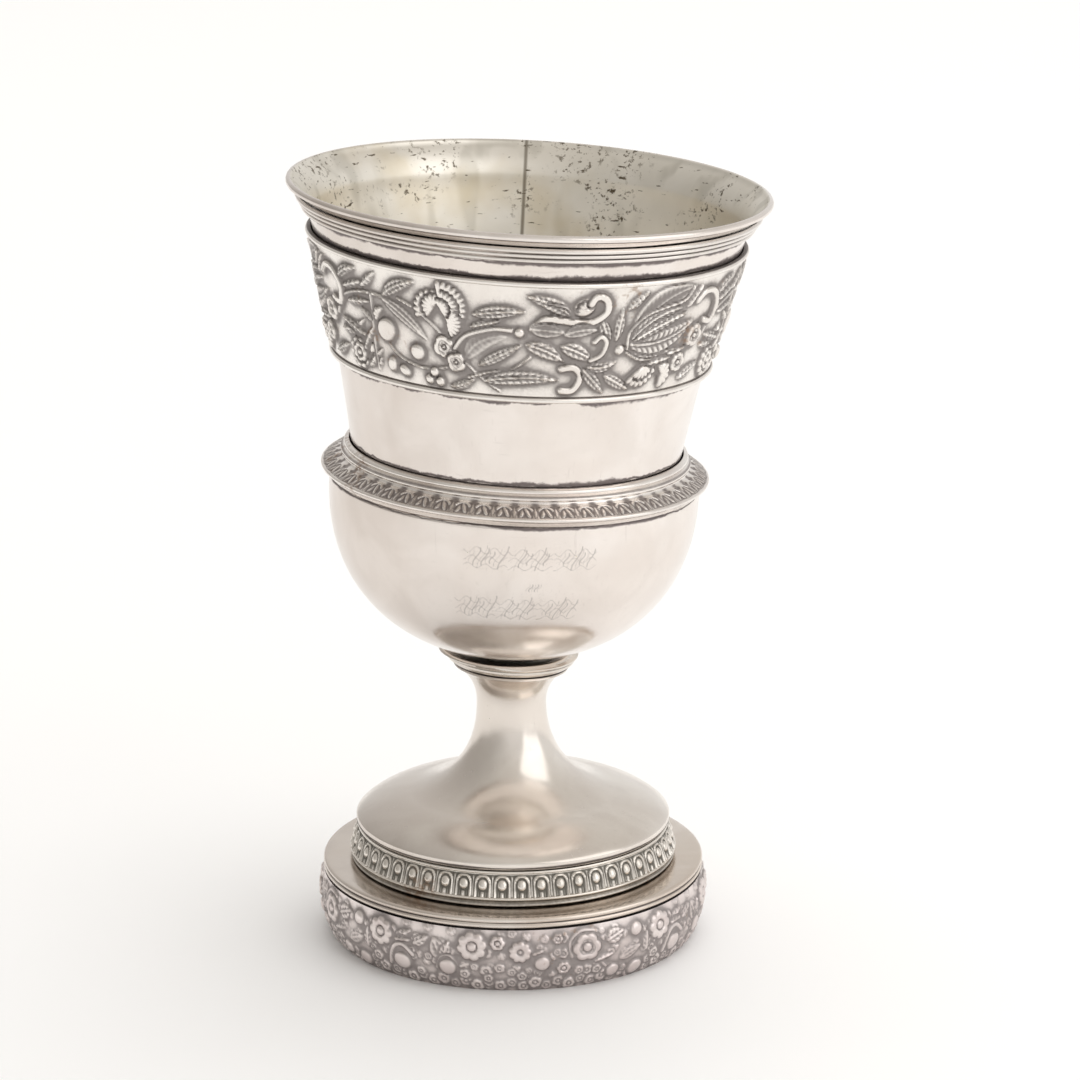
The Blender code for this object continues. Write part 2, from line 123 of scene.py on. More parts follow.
def leaf(sheet, tail, tip, width, rise=0.85, teeth=0, bend=0.0, hollow=False):
    """A pointed leaf from its tail to its tip, with a midrib and veins. A hollow one has a raised rim."""
    a, b, length = from_line(sheet, on(sheet, tail), on(sheet, tip))
    t = np.clip(a / length, 0, 1)
    b = b - bend * length * 4 * t * (1 - t)
    half = width / 2 * np.sin(math.pi * t**0.8) ** 0.75
    if teeth:
        half = half * (0.80 + 0.20 * (t * teeth % 1.0))
    edge = np.where((a > 0) & (a < length), half - np.abs(b), -9.0)
    share = np.clip(np.abs(b) / np.maximum(half, 0.05), 0, 1)
    count = min(teeth or length / 1.1, length / 0.85)
    veins = 0.5 + 0.5 * np.cos(2 * math.pi * (t * count - share * 0.8))
    rib = np.exp(-((b / 0.24) ** 2))
    if hollow:
        body = 0.30 + 0.70 * share**3 + 0.45 * rib - 0.10 * veins
    else:
        beside_rib = np.exp(-(((np.abs(b) - 0.42) / 0.20) ** 2))
        body = 0.62 + 0.38 * share - 0.42 * veins * np.clip(share * 1.6, 0, 1) + 0.30 * rib - 0.34 * beside_rib
    lay(sheet, edge, rise * np.clip(body, 0.1, 1))


def shell(sheet, place, radius, start, sweep, ribs, rise=0.85):
    """A fan of ribs with a scalloped edge, from a start angle through a sweep in degrees."""
    a, b = from_point(sheet, on(sheet, place), start)
    far, angle = np.hypot(a, b), np.degrees(np.arctan2(b, a)) % 360
    share = np.clip(angle / sweep, 0, 1)
    lobe = np.abs(np.sin(math.pi * ribs * share))
    outline = radius * (0.86 + 0.14 * lobe**0.6)
    edge = np.where(angle <= sweep, outline - far, -9.0)
    body = 0.50 + 0.50 * np.sin(math.pi * np.clip(far / outline, 0, 1) ** 0.7 * 0.86)
    lay(sheet, edge, rise * body * (0.66 + 0.34 * lobe))


def blossom(sheet, place, radius, petals, boss, rise=0.85, turn=0.0, rings=0):
    """A flower with cupped petals round a boss, or with rings of petals inside one another."""
    a, b = from_point(sheet, on(sheet, place), turn)
    far, angle = np.hypot(a, b), np.arctan2(b, a)
    lobe = np.abs(np.cos(petals * angle / 2))
    outline = radius * (0.82 + 0.18 * lobe**0.5)
    share = np.clip(far / outline, 0, 1)
    cup = 0.35 + 0.65 * np.sin(math.pi * share**1.3 * 0.9)
    if rings:
        cup = 0.55 + 0.45 * np.abs(np.sin(math.pi * share * rings + 0.3 * np.sin(3 * angle)))
    cup = cup * (0.74 + 0.26 * lobe**0.5)
    body = np.where(far < boss, 0.55 + 0.45 * np.sqrt(np.clip(1 - (far / boss) ** 2, 0, 1)), cup)
    body = np.where(np.abs(far - boss) < 0.14, 0.22, body)
    lay(sheet, outline - far, rise * body)


def berry(sheet, place, radius, rise=0.9, tall=1.0, turn=0.0):
    """A round fruit or bud, longer one way if tall is over one."""
    a, b = from_point(sheet, on(sheet, place), turn)
    far = np.hypot(a / tall, b)
    lay(sheet, radius - far, rise * (0.25 + 0.75 * np.sqrt(np.clip(1 - (far / radius) ** 2, 0, 1))))


def stem(sheet, places, width, rise=0.62, furrow=0.0):
    """A half-round stalk or scroll through the places, with a furrow down its middle if it is a scroll."""
    knots = [on(sheet, place) for place in places]
    points = []
    ends = [knots[0]] + knots + [knots[-1]]
    for before, start, end, after in zip(ends, ends[1:], ends[2:], ends[3:]):
        for i in range(5):
            t = i / 5
            points.append([0.5 * (2 * q + (r - p) * t + (2 * p - 5 * q + 4 * r - s) * t * t
                                  + (3 * q - p - 3 * r + s) * t**3)
                           for p, q, r, s in zip(before, start, end, after)])
    near = nearest(sheet, points + [knots[-1]])
    share = np.clip(near / (width / 2), 0, 1)
    body = 0.35 + 0.65 * np.sqrt(1 - share**2) - furrow * np.exp(-((share / 0.35) ** 2))
    lay(sheet, width / 2 - near, rise * body, 0.22)


def chased(sheet, ground=0.08):
    """Softens the sheet as wear does, and works out where tarnish lies: in the ground and close to the forms."""
    rise = sheet["rise"]

    def spread(grid, times, stride):
        for _ in range(times):
            grid = (np.roll(grid, stride, 1) + 2 * grid + np.roll(grid, -stride, 1)) / 4
            padded = np.pad(grid, ((stride, stride), (0, 0)), mode="edge")
            grid = (padded[:-2 * stride] + 2 * grid + padded[2 * stride:]) / 4
        return grid

    soft = spread(rise, 2, 1)
    near = spread(soft, 3, 2)
    wide = spread(soft, 8, 5)
    sheet["rise"] = soft
    low = np.clip(1 - 1.15 * soft, 0, 1)
    sheet["recess"] = np.clip(ground * low + 3.1 * wide * low**1.3 + 2.2 * np.maximum(near - soft, 0), 0, 1)


def sampled(sheet, along, down):
    """The rise and the recess of the sheet at each point along and down, blended between its cells."""
    rows, columns = sheet["rise"].shape
    x = (along / CELL) % columns
    y = np.clip(down / CELL, 0, rows - 1.001)
    left, top = np.floor(x).astype(int) % columns, np.floor(y).astype(int)
    right, low = (left + 1) % columns, top + 1
    u, v = x - np.floor(x), y - top
    return [(grid[top, left] * (1 - u) + grid[top, right] * u) * (1 - v)
            + (grid[low, left] * (1 - u) + grid[low, right] * u) * v for grid in (sheet["rise"], sheet["recess"])]


def settled(co):
    """Carries the straight goblet's points to where they are now, the cup knocked over to the right, in metres."""
    lean, collar_top, stem_foot, stem_top, stem_shift = math.radians(LEAN), 63.15, 32.9, 60.6, 0.4
    x, z = co[:, 0].copy(), co[:, 2].copy()
    share = np.clip((z - stem_foot) / (stem_top - stem_foot), 0, 1)
    share = share * share * (3 - 2 * share)
    rise = z - LEAN_POINT
    in_cup = z > collar_top
    co[:, 0] = FOOT_AXIS + np.where(in_cup, x * math.cos(lean) + rise * math.sin(lean), x - stem_shift * share)
    co[:, 2] = np.where(in_cup, LEAN_POINT + rise * math.cos(lean) - x * math.sin(lean),
                        z - x * math.sin(lean) * share)
    return co / 1000


def finish(piece, name, node, materials, chase=None, crease=50.0):
    """Turns the worked metal into the piece: relief, place on the goblet, marks for the tarnish, and silver."""
    mesh = bpy.data.meshes.new(name)
    piece.to_mesh(mesh)
    piece.free()
    co = np.empty(len(mesh.vertices) * 3)
    mesh.vertices.foreach_get("co", co)
    co = co.reshape(-1, 3)
    radius, around = np.hypot(co[:, 0], co[:, 1]), np.degrees(np.arctan2(co[:, 0], -co[:, 1]))
    height = co[:, 2].copy()
    recess = np.zeros(len(co))
    if chase:
        radius, recess = chase(radius, around, height)
    co[:, 0] = radius * np.sin(np.radians(around))
    co[:, 1] = -radius * np.cos(np.radians(around))
    mesh.vertices.foreach_set("co", settled(co).ravel())
    for label, values in (("recess", recess), ("height", height)):
        mesh.attributes.new(label, "FLOAT", "POINT").data.foreach_set("value", values)
    for material in materials:
        mesh.materials.append(material)
    mesh.shade_smooth()
    mesh.set_sharp_from_angle(angle=math.radians(crease))
    made = bpy.data.objects.new(name, mesh)
    bpy.context.scene.collection.objects.link(made)
    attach(made, "root")
    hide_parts(node)
    return made


def wired(tree, kind, inputs=None, **settings):
    """A new shader node with its settings, its inputs set or linked."""
    made = tree.nodes.new(kind)
    for key, value in settings.items():
        setattr(made, key, value)
    for key, value in (inputs or {}).items():
        if isinstance(value, bpy.types.NodeSocket):
            tree.links.new(value, made.inputs[key])
        else:
            made.inputs[key].default_value = value
    return made


def reckon(tree, operation, *values):
    """The result of one sum of sockets and numbers."""
    return wired(tree, "ShaderNodeMath", dict(enumerate(values)), operation=operation).outputs[0]


def noise(tree, place, scale, detail, **more):
    """A cloudy pattern at a place, finer as the scale grows."""
    return wired(tree, "ShaderNodeTexNoise", {"Vector": place, "Scale": scale, "Detail": detail, **more}).outputs[0]


def streaks(tree, place, stretch, detail, turn=(0.0, 0.0, 0.0)):
    """A cloudy pattern that is drawn out along an axis, after a turn."""
    placed = wired(tree, "ShaderNodeMapping", {"Vector": place, "Rotation": turn, "Scale": stretch})
    return noise(tree, placed.outputs[0], 1.0, detail)


def ramp(tree, value, low, high, start=0.0, end=1.0, smooth=True):
    """Maps a value from one range to another and holds it at the ends."""
    kind = "SMOOTHSTEP" if smooth else "LINEAR"
    made = wired(tree, "ShaderNodeMapRange", {0: value, 1: low, 2: high, 3: start, 4: end}, interpolation_type=kind)
    return made.outputs[0]


def group_of(name, inputs, outputs):
    """A shader group of numbers: its tree, what it is given, the point on the piece, and what it gives."""
    group = bpy.data.node_groups.new(name, "ShaderNodeTree")
    for label, value in inputs:
        group.interface.new_socket(label, in_out="INPUT", socket_type="NodeSocketFloat").default_value = value
    for label in outputs:
        group.interface.new_socket(label, in_out="OUTPUT", socket_type="NodeSocketFloat")
    given, out = group.nodes.new("NodeGroupInput").outputs, group.nodes.new("NodeGroupOutput").inputs
    return group, given, wired(group, "ShaderNodeTexCoord").outputs["Object"], out


def put(tree, group, **inputs):
    """Places a group in a material with its own values. An underscore in a name stands for a space."""
    made = wired(tree, "ShaderNodeGroup", node_tree=group)
    for key, value in inputs.items():
        socket = made.inputs[key.replace("_", " ").capitalize()]
        if isinstance(value, bpy.types.NodeSocket):
            tree.links.new(value, socket)
        else:
            socket.default_value = value
    return made.outputs


# Tarnish in the recesses: thick where the relief is deep, with a ragged edge
tarnish, given, spot, out = group_of("tarnish", (("Depth", 0.0), ("Reach", 0.5), ("Grain", 1400.0)), ("Mask",))
uneven = reckon(tarnish, "ADD", noise(tarnish, spot, given["Grain"], 4.0), noise(tarnish, spot, 90.0, 3.0))
uneven = reckon(tarnish, "MULTIPLY_ADD", uneven, 0.28, -0.28)
total = reckon(tarnish, "ADD", given["Depth"], uneven)
level = reckon(tarnish, "SUBTRACT", 1.0, given["Reach"])
tarnish.links.new(ramp(tarnish, total, level, reckon(tarnish, "ADD", level, 0.62)), out["Mask"])

# Clouds of handling and polish, large and soft, and a fine grain
clouds, given, spot, out = group_of("polish_clouds", (("Size", 40.0),), ("Mask", "Fine"))
large = noise(clouds, spot, given["Size"], 3.0, Distortion=0.6)
small = noise(clouds, spot, 420.0, 5.0, Roughness=0.6)
clouds.links.new(ramp(clouds, large, 0.32, 0.68), out["Mask"])
clouds.links.new(ramp(clouds, small, 0.30, 0.70, smooth=False), out["Fine"])

# Small brown stains, few and far between
stains, given, spot, out = group_of("brown_stains", (("Size", 60.0), ("Amount", 0.6)), ("Mask",))
where = noise(stains, spot, given["Size"], 5.0, Roughness=0.6)
both = reckon(stains, "MULTIPLY_ADD", noise(stains, spot, 900.0, 3.0), 0.35, where)
stains.links.new(reckon(stains, "MULTIPLY", ramp(stains, both, 0.80, 0.90), given["Amount"]), out["Mask"])

# Hairline scratches from wiping, in two directions
scratches, given, spot, out = group_of("hairline_scratches", (("Amount", 0.5),), ("Mask", "Height"))
hairs = [ramp(scratches, streaks(scratches, spot, stretch, 2.0, turn), 0.64, 0.74)
         for turn, stretch in (((0.2, 0.5, 0.3), (1500.0, 1500.0, 40.0)), ((1.2, 0.3, 0.9), (60.0, 1700.0, 1700.0)))]
most = reckon(scratches, "MULTIPLY", reckon(scratches, "MAXIMUM", *hairs), given["Amount"])
scratches.links.new(most, out["Mask"])
scratches.links.new(reckon(scratches, "SUBTRACT", 0.0, most), out["Height"])


def blend(tree, share, first, second):
    """A colour between two, each a colour or a socket."""
    mixed = wired(tree, "ShaderNodeMix", {0: share}, data_type="RGBA")
    for socket, value in ((mixed.inputs[6], first), (mixed.inputs[7], second)):
        if isinstance(value, bpy.types.NodeSocket):
            tree.links.new(value, socket)
        else:
            socket.default_value = (*value, 1.0)
    return mixed.outputs[2]


def blank_silver(name):
    """A metal material with nothing linked yet, and its tree."""
    material = bpy.data.materials.new(name)
    material.use_nodes = True
    material.node_tree.nodes["Principled BSDF"].inputs["Metallic"].default_value = 1.0
    return material, material.node_tree


def surface(tree, color, rough, height, strength, distance, invert=False):
    """Gives the metal its colour, its roughness and a fine relief, whose distance is in metres."""
    bump = wired(tree, "ShaderNodeBump", {"Height": height, "Strength": strength, "Distance": distance},
                 invert=invert)
    for label, socket in (("Base Color", color), ("Roughness", rough), ("Normal", bump.outputs[0])):
        tree.links.new(socket, tree.nodes["Principled BSDF"].inputs[label])


def relief_silver(name, bright, shade, dark, reach, gloss, stain_size=60.0):
    """Silver for a chased band: rubbed bright on the high parts, greyer below, dark in the ground."""
    material, tree = blank_silver(name)
    depth = wired(tree, "ShaderNodeAttribute", attribute_name="recess").outputs["Fac"]
    mask = put(tree, tarnish, depth=depth, reach=reach)["Mask"]
    cloud = put(tree, clouds, size=70.0)
    color = blend(tree, mask, blend(tree, cloud["Mask"], bright, shade), dark)
    color = blend(tree, put(tree, stains, size=stain_size)["Mask"], color, (0.30, 0.19, 0.12))
    surface(tree, color, ramp(tree, mask, 0.0, 1.0, gloss, 0.50), cloud["Fine"], 0.05, 0.00003)
    return material


def foot_ground(height):
    """Radius of the foot band's ground at each height, bulging above its middle."""
    widest, widest_at = 41.75, 0.64
    t = np.clip(np.asarray(height, float) / FOOT_BAND_HEIGHT, 0, 1)
    upper = widest - 0.5 * (np.clip(t - widest_at, 0, 1) / (1 - widest_at)) ** 2
    return upper - 2.75 * (np.clip(widest_at - t, 0, 1) / widest_at) ** 2


foot = sheet_of(FOOT_REPEAT * FOOT_DEGREE, FOOT_BAND_HEIGHT, FOOT_DEGREE)

# A ground of small leaves and flowers, a row of flowers along the table, and single ones between large forms
for i in range(88):
    x, y = i * 137.5 % 90, 0.6 + i * 61.8 % 12.2
    if i % 3:
        tip = (x + 2.7 / FOOT_DEGREE * math.cos(i * 2.1), y + 1.9 * math.sin(i * 2.1))
        leaf(foot, (x, y), tip, 1.9, 0.46 + 0.08 * (i % 4))
    else:
        blossom(foot, (x, y), 1.0 + 0.15 * (i % 4), 5, 0.4, 0.55, turn=23 * i)
for i in range(26):
    blossom(foot, (i * 90 / 26, 12.0 + 0.9 * (i % 2)), 1.25 + 0.2 * (i % 3), 5, 0.5, 0.50 + 0.1 * (i % 3),
            turn=17 * i)
for x, y, radius in ((-45, 8.2, 1.0), (-28, 11.0, 1.1), (-25, 7.0, 0.9), (-14, 10.2, 1.25), (-7, 11.0, 1.1),
                     (-3.6, 8.4, 1.2), (3, 10.4, 1.2), (20, 9.8, 1.1), (25.7, 10.2, 1.2), (44.5, 11, 1.1),
                     (5, 9, 0.8), (-11, 8.3, 0.9), (-37, 12, 1.2), (35, 11.4, 1.0), (9.6, 2.0, 0.9),
                     (46.6, 9.8, 1.4), (8, 3.8, 0.8), (13.2, 5.0, 0.9), (-30.5, 6.3, 0.9), (27, 1.6, 0.7)):
    blossom(foot, (x, y), radius, 5, radius * 0.36, 0.62, turn=31 * x)

# The large forms, as they stand in the photograph
leaf(foot, (-36.5, 4.4), (-30.8, 2), 2)
leaf(foot, (-36.5, 4.6), (-30.8, 4.2), 1.8)
leaf(foot, (-30, 4.8), (-25, 2.6), 2.2)
leaf(foot, (-20.6, 7.2), (-23.5, 2.6), 3.6, hollow=True)
leaf(foot, (-20.6, 7.2), (-18.6, 3), 2.4)
stem(foot, [(26.3, 8), (28, 9.4), (30, 10.8)], 0.7)
leaf(foot, (28.6, 3.9), (34.4, 2.2), 3.4)
leaf(foot, (33.4, 8.8), (40.8, 6.6), 2.4, hollow=True)
leaf(foot, (42.9, 8.4), (42.9, 3.8), 2.2)
leaf(foot, (24.5, 8.2), (31, 7), 1.5)
leaf(foot, (5.2, 5.4), (9.5, 4.4), 1.1)
stem(foot, [(-38.8, 10.6), (-36.9, 6.6), (-33.6, 5.5), (-30.2, 7.4)], 1.1, 0.7, 0.3)
stem(foot, [(-22.4, 9.4), (-21.2, 6.8), (-18.2, 6.2), (-16.2, 8.2)], 0.7, 0.55)
berry(foot, (-34.1, 9.4), 2.1, tall=1.1)
berry(foot, (-19.1, 8.9), 2)
blossom(foot, (-41.6, 3.8), 3.3, 8, 1.1)
blossom(foot, (-11.6, 3.7), 3.3, 8, 1.1, turn=12)
blossom(foot, (-4.2, 2.7), 1.7, 6, 0.6)
blossom(foot, (2.4, 4.6), 2.5, 9, 0.5, turn=5)
berry(foot, (8.8, 7.4), 1.75)
blossom(foot, (13.4, 2.1), 1.2, 6, 0.5)
blossom(foot, (15.2, 8.8), 1.6, 6, 0.6)
stem(foot, [(17.6, 6.4), (17, 3), (20.6, 0.9), (25.2, 1.4)], 0.9, 0.6, 0.2)
blossom(foot, (22.2, 4.6), 3.3, 6, 1.1, rings=2)
berry(foot, (31.2, 11.3), 1.6, tall=1.1)
berry(foot, (38.9, 2.8), 1.6)
berry(foot, (39.7, 12), 1.8, tall=1.15, turn=20)
chased(foot, 0.26)


def chase_foot(radius, around, height):
    outer = radius > foot_ground(height) - 0.4
    rise, recess = sampled(foot, (around % FOOT_REPEAT) * FOOT_DEGREE, FOOT_BAND_HEIGHT - height)
    near_edge = np.clip(np.minimum(height - 0.15, FOOT_BAND_HEIGHT - 0.1 - height) / 0.6, 0, 1)
    return radius + np.where(outer, rise * near_edge * FOOT_RELIEF, 0), np.where(outer, recess, 0.8)


foot_rows = [FOOT_BAND_HEIGHT * (1 - i / 52) for i in range(53)]
foot_profile = rows_at(foot_ground, foot_rows)
foot_profile += rows_at(foot_ground, (0.0, 3.6, 7.2, 10.8, FOOT_BAND_HEIGHT), -FOOT_BAND_WALL)
foot_relief = relief_silver("foot_band_silver", (0.86, 0.79, 0.765), (0.70, 0.62, 0.60), (0.36, 0.325, 0.317), 0.70,
                            0.28)
finish(turned(foot_profile, 880), "foot_flower_band_silver", "foot_flower_band", [foot_relief],
       chase_foot)


# Foot step. A flat plate of silver covers the flower band; its edge is turned down and drawn into two fine beads.
# It is soldered on the band and carries the egg band.
def bead(center_radius, center_height, size, start, end, points=6):
    """Points round a half-round bead, from a start to an end angle in degrees, 90 being up."""
    turns = [math.radians(start + (end - start) * i / points) for i in range(points + 1)]
    return [(center_radius + size * math.cos(turn), center_height + size * math.sin(turn)) for turn in turns]


# A ragged dark line at a height on the straight goblet: old solder and tarnish where pieces meet, and a darker groove
# where two beads meet
dark_line, given, spot, out = group_of(
    "dark_line", (("Height", 0.0), ("Line", 0.0), ("Width", 0.6), ("Ragged", 0.8)), ("Mask",))
wave = reckon(dark_line, "SUBTRACT", noise(dark_line, spot, 190.0, 6.0, Roughness=0.72), 0.5)
wave = reckon(dark_line, "MULTIPLY", wave, given["Ragged"])
off = reckon(dark_line, "ADD", reckon(dark_line, "SUBTRACT", given["Height"], given["Line"]), wave)
girth = ramp(dark_line, noise(dark_line, spot, 42.0, 2.0), 0.3, 0.7, 0.35, 1.5)
girth = reckon(dark_line, "MULTIPLY", given["Width"], girth)
far = reckon(dark_line, "DIVIDE", reckon(dark_line, "ABSOLUTE", off), girth)
dark_line.links.new(ramp(dark_line, far, 0.25, 1.0, 1.0, 0.0), out["Mask"])


def plain_silver(name, bright, shade, gloss, lines, dark=(0.16, 0.14, 0.13)):
    """Plain polished silver: soft clouds, a thin tarnish in soft patches with painted shade that darkens the left
    side, which faces away from the light, hairline scratches, and dark lines, at joints where old solder shows and in
    grooves between beads, each with a height, a width and how ragged it is."""
    material, tree = blank_silver(name)
    height = wired(tree, "ShaderNodeAttribute", attribute_name="height").outputs["Fac"]
    cloud = put(tree, clouds, size=38.0)
    hair = put(tree, scratches, amount=0.5)
    color = blend(tree, cloud["Mask"], bright, shade)
    place = wired(tree, "ShaderNodeSeparateXYZ", {0: wired(tree, "ShaderNodeTexCoord").outputs["Object"]})
    # Painted shade: the colour darkens towards the left side, which faces away from the light, and soft patches of
    # tarnish are added on top
    tarnish_and_left_shade = ramp(tree, place.outputs["X"], -0.046, 0.006, 0.62, 0.0)
    tarnish_and_left_shade = reckon(tree, "MULTIPLY_ADD", put(tree, clouds, size=75.0)["Mask"], 0.30, tarnish_and_left_shade)
    color = blend(tree, tarnish_and_left_shade, color, (0.64, 0.575, 0.525))
    rough = ramp(tree, cloud["Fine"], 0.0, 1.0, gloss, gloss + 0.07, smooth=False)
    for line, width, ragged in lines:
        mask = put(tree, dark_line, height=height, line=line, width=width, ragged=ragged)["Mask"]
        color = blend(tree, mask, color, dark)
        rough = reckon(tree, "MULTIPLY_ADD", mask, 0.3, rough)
    color = blend(tree, reckon(tree, "MULTIPLY", hair["Mask"], 0.45), color, (0.60, 0.55, 0.51))
    surface(tree, color, reckon(tree, "MULTIPLY_ADD", hair["Mask"], 0.10, rough), hair["Height"], 0.10, 0.00003)
    return material


def planished(rise, wave, phase=0.0):
    """Gentle unevenness left by the hammer, so that reflections waver."""
    def work(radius, around, height):
        turn = np.radians(around)
        dents = (np.sin(5 * turn + height / wave * 3 + phase) * np.sin(height / wave * 5.3 + 2 * turn + 2 * phase)
                 + 0.6 * np.sin(9 * turn - height / wave * 4.1 + 1.7 + phase)
                 + 0.5 * np.sin(14 * turn + height / wave * 7.7 + 0.4))
        share = np.clip(radius / 8 - 0.2, 0, 1)
        return radius - rise * (1 + dents / 2.1) * share, np.zeros_like(radius)
    return work


step_profile = bead(40.72, 16.37, 0.62, 90, -60) + bead(40.78, 15.2, 0.6, 55, -90)
step_profile += [(39.7, 14.6), (39.7, 16.2), (32.5, 16.2), (32.5, 17.0)]
step_profile += [(33.5 + i, 17.0) for i in range(7)]
# The line at 15.78 darkens the groove between the step's two beads, where there is no joint; the one at 14.7 is the
# joint on the band
step_silver = plain_silver("foot_step_silver", (0.86, 0.80, 0.74), (0.70, 0.61, 0.53), 0.17,
                           [(15.78, 0.2, 0.15), (14.7, 0.25, 0.3)])
finish(turned(step_profile, 320), "foot_step_silver", "foot_step", [step_silver])


# Egg band. An upright strip with a row of small eggs, each in its own arch with a bar between, stands on the step
# over a narrow dark cove. It was rolled with the pattern, bent round and soldered.
EGG_COUNT, EGG_PITCH = 52, 4.0
EGG_ROW_LOW, EGG_ROW_HIGH, EGG_RELIEF = 19.3, 23.7, 0.62


def egg_ground(height):
    """Radius of the sloping ground under the eggs."""
    t = np.clip((np.asarray(height, float) - EGG_ROW_LOW) / (EGG_ROW_HIGH - EGG_ROW_LOW), 0, 1)
    return 35.1 - 1.5 * t


egg_sheet = sheet_of(EGG_PITCH, EGG_ROW_HIGH - EGG_ROW_LOW)
stem(egg_sheet, [(0.5, 4.5), (0.42, 2.6), (0.6, 1.2), (1.2, 0.45), (2.0, 0.3), (2.8, 0.45), (3.4, 1.2), (3.58, 2.6),
                 (3.5, 4.5)], 0.62, 0.9)
stem(egg_sheet, [(0.0, 4.2), (0.0, 0.4)], 0.36, 0.75)
berry(egg_sheet, (2.0, 1.95), 0.98, 1.0, tall=1.2, turn=90)
stem(egg_sheet, [(2.0, 4.5), (2.0, 3.6)], 0.5, 0.6)
chased(egg_sheet)


def chase_eggs(radius, around, height):
    outer = (radius > egg_ground(height) - 0.3) & (height > EGG_ROW_LOW - 0.01) & (height < EGG_ROW_HIGH + 0.01)
    along = around * EGG_COUNT * EGG_PITCH / 360 % EGG_PITCH
    rise, recess = sampled(egg_sheet, along, EGG_ROW_HIGH - height)
    elsewhere = np.where(height < 18.75, 0.62, np.where(height > 24.3, 0.1, 0.3))
    return radius + np.where(outer, rise * EGG_RELIEF, 0), np.where(outer, recess, elsewhere)


egg_rows = [EGG_ROW_HIGH - (EGG_ROW_HIGH - EGG_ROW_LOW) * i / 24 for i in range(25)]
egg_profile = [(33.55, 24.7)] + bead(33.5, 24.3, 0.38, 60, -75, 5)
egg_profile += rows_at(egg_ground, egg_rows)
egg_profile += bead(35.25, 18.95, 0.32, 80, -80, 5)
egg_profile += [(34.95, 18.5), (34.7, 18.1), (34.75, 17.75)] + bead(35.05, 17.58, 0.28, 60, -90, 5)
egg_profile += [(32.5, 17.3), (32.5, 24.7)]
egg_relief = relief_silver("egg_band_silver", (0.84, 0.79, 0.73), (0.74, 0.69, 0.63), (0.16, 0.15, 0.13), 0.66, 0.24)
finish(turned(egg_profile, EGG_COUNT * 16), "egg_band_silver", "egg_band", [egg_relief],
       chase_eggs)


# Stem and dome. One piece of silver raised and turned into a trumpet stem over a low dome, hollow from below.
# The dome's edge is turned down and rests on the egg band.
def bowed(start, end, bow_start, bow_end, points):
    """Points after start, up to and with end, along a curve drawn by two bow points."""
    curve = []
    for i in range(1, points + 1):
        t = i / points
        weights = ((1 - t) ** 3, 3 * t * (1 - t) ** 2, 3 * t * t * (1 - t), t**3)
        curve.append(tuple(sum(w * knot[axis] for w, knot in zip(weights, (start, bow_start, bow_end, end)))
                           for axis in range(2)))
    return curve


def walled(outer, thickness):
    """Closes an outer profile, top to bottom, with an inner one that runs back at an even thickness."""
    inner = []
    last = len(outer) - 1
    for i in range(len(outer)):
        before, after = outer[max(i - 1, 0)], outer[min(i + 1, last)]
        run, fall = after[0] - before[0], after[1] - before[1]
        size = math.hypot(run, fall)
        inner.append((max(outer[i][0] + thickness * fall / size, 0.0), outer[i][1] - thickness * run / size))
    return outer + inner[::-1]


SHEET_WALL = 0.8  # of the stem and of the cup
stem_outer = [(0.0, 60.6), (4.0, 60.6), (8.0, 60.6), (12.4, 60.6), (12.7, 60.4)]
stem_outer += bowed((12.7, 60.4), (7.55, 51.5), (8.83, 57.6), (7.55, 55.0), 24)
stem_outer += bowed((7.55, 51.5), (22.5, 31.6), (7.55, 40.9), (13.05, 33.98), 48)
stem_outer += bowed((22.5, 31.6), (34.0, 26.5), (27.5, 30.6), (31.9, 28.7), 24)
stem_outer += [(34.1, 26.3), (34.1, 25.8), (34.1, 25.2), (33.9, 25.0)]
stem_silver = plain_silver("stem_silver", (0.88, 0.83, 0.77), (0.80, 0.74, 0.68), 0.18,
                           [(60.5, 0.35, 0.5), (25.4, 0.3, 0.3)])
finish(turned(walled(stem_outer, SHEET_WALL), 288, ring=False), "stem_silver", "stem_and_dome",
       [stem_silver], planished(0.03, 14.0))


# Collar. A small moulded ring of solid silver with one round bead and a hollow below it. It is soldered on top of
# the stem and carries the bottom of the cup.
collar_profile = [(0.0, 63.0), (6.0, 63.0), (8.6, 63.05), (11.0, 63.4), (12.6, 63.65)]
collar_profile += bead(13.85, 62.98, 0.72, 115, -65, 9)
collar_profile += [(13.75, 62.05), (13.8, 61.7), (13.55, 61.3), (13.2, 61.1), (13.05, 60.9), (6.0, 60.9), (0.0, 60.9)]
# The dark line at 62.15 runs in the hollow under the bead, where there is no joint
collar_silver = plain_silver("collar_silver", (0.80, 0.75, 0.69), (0.72, 0.67, 0.61), 0.20, [(62.15, 0.22, 0.3)])
finish(turned(collar_profile, 192, ring=False), "collar_silver", "collar", [collar_silver])


# Cup. One vessel of silver sheet: a round lower bowl, a ledge, a tapered wall that has been hammered and polished,
# and a flared lip with a thick rounded edge. Dark pits, nicks and stains show inside.
BOWL_BASE, BOWL_WIDEST, BOWL_RADIUS, BOWL_FULLNESS = 63.3, 100.6, 39.5, 2.25
CUP_FOOT, CUP_FOOT_RADIUS, WALL_SPREAD, WALL_HOLLOW = 109.1, 35.3, 10.6, 0.66
CUP_TOP, LIP, LIP_FLARE = 157.1, 164.4, 5.2
WRITTEN_LOW, WRITTEN_TOP, WRITTEN_SIDE = 78.2, 98.4, 32.0  # the engraved part of the bowl: heights and degrees


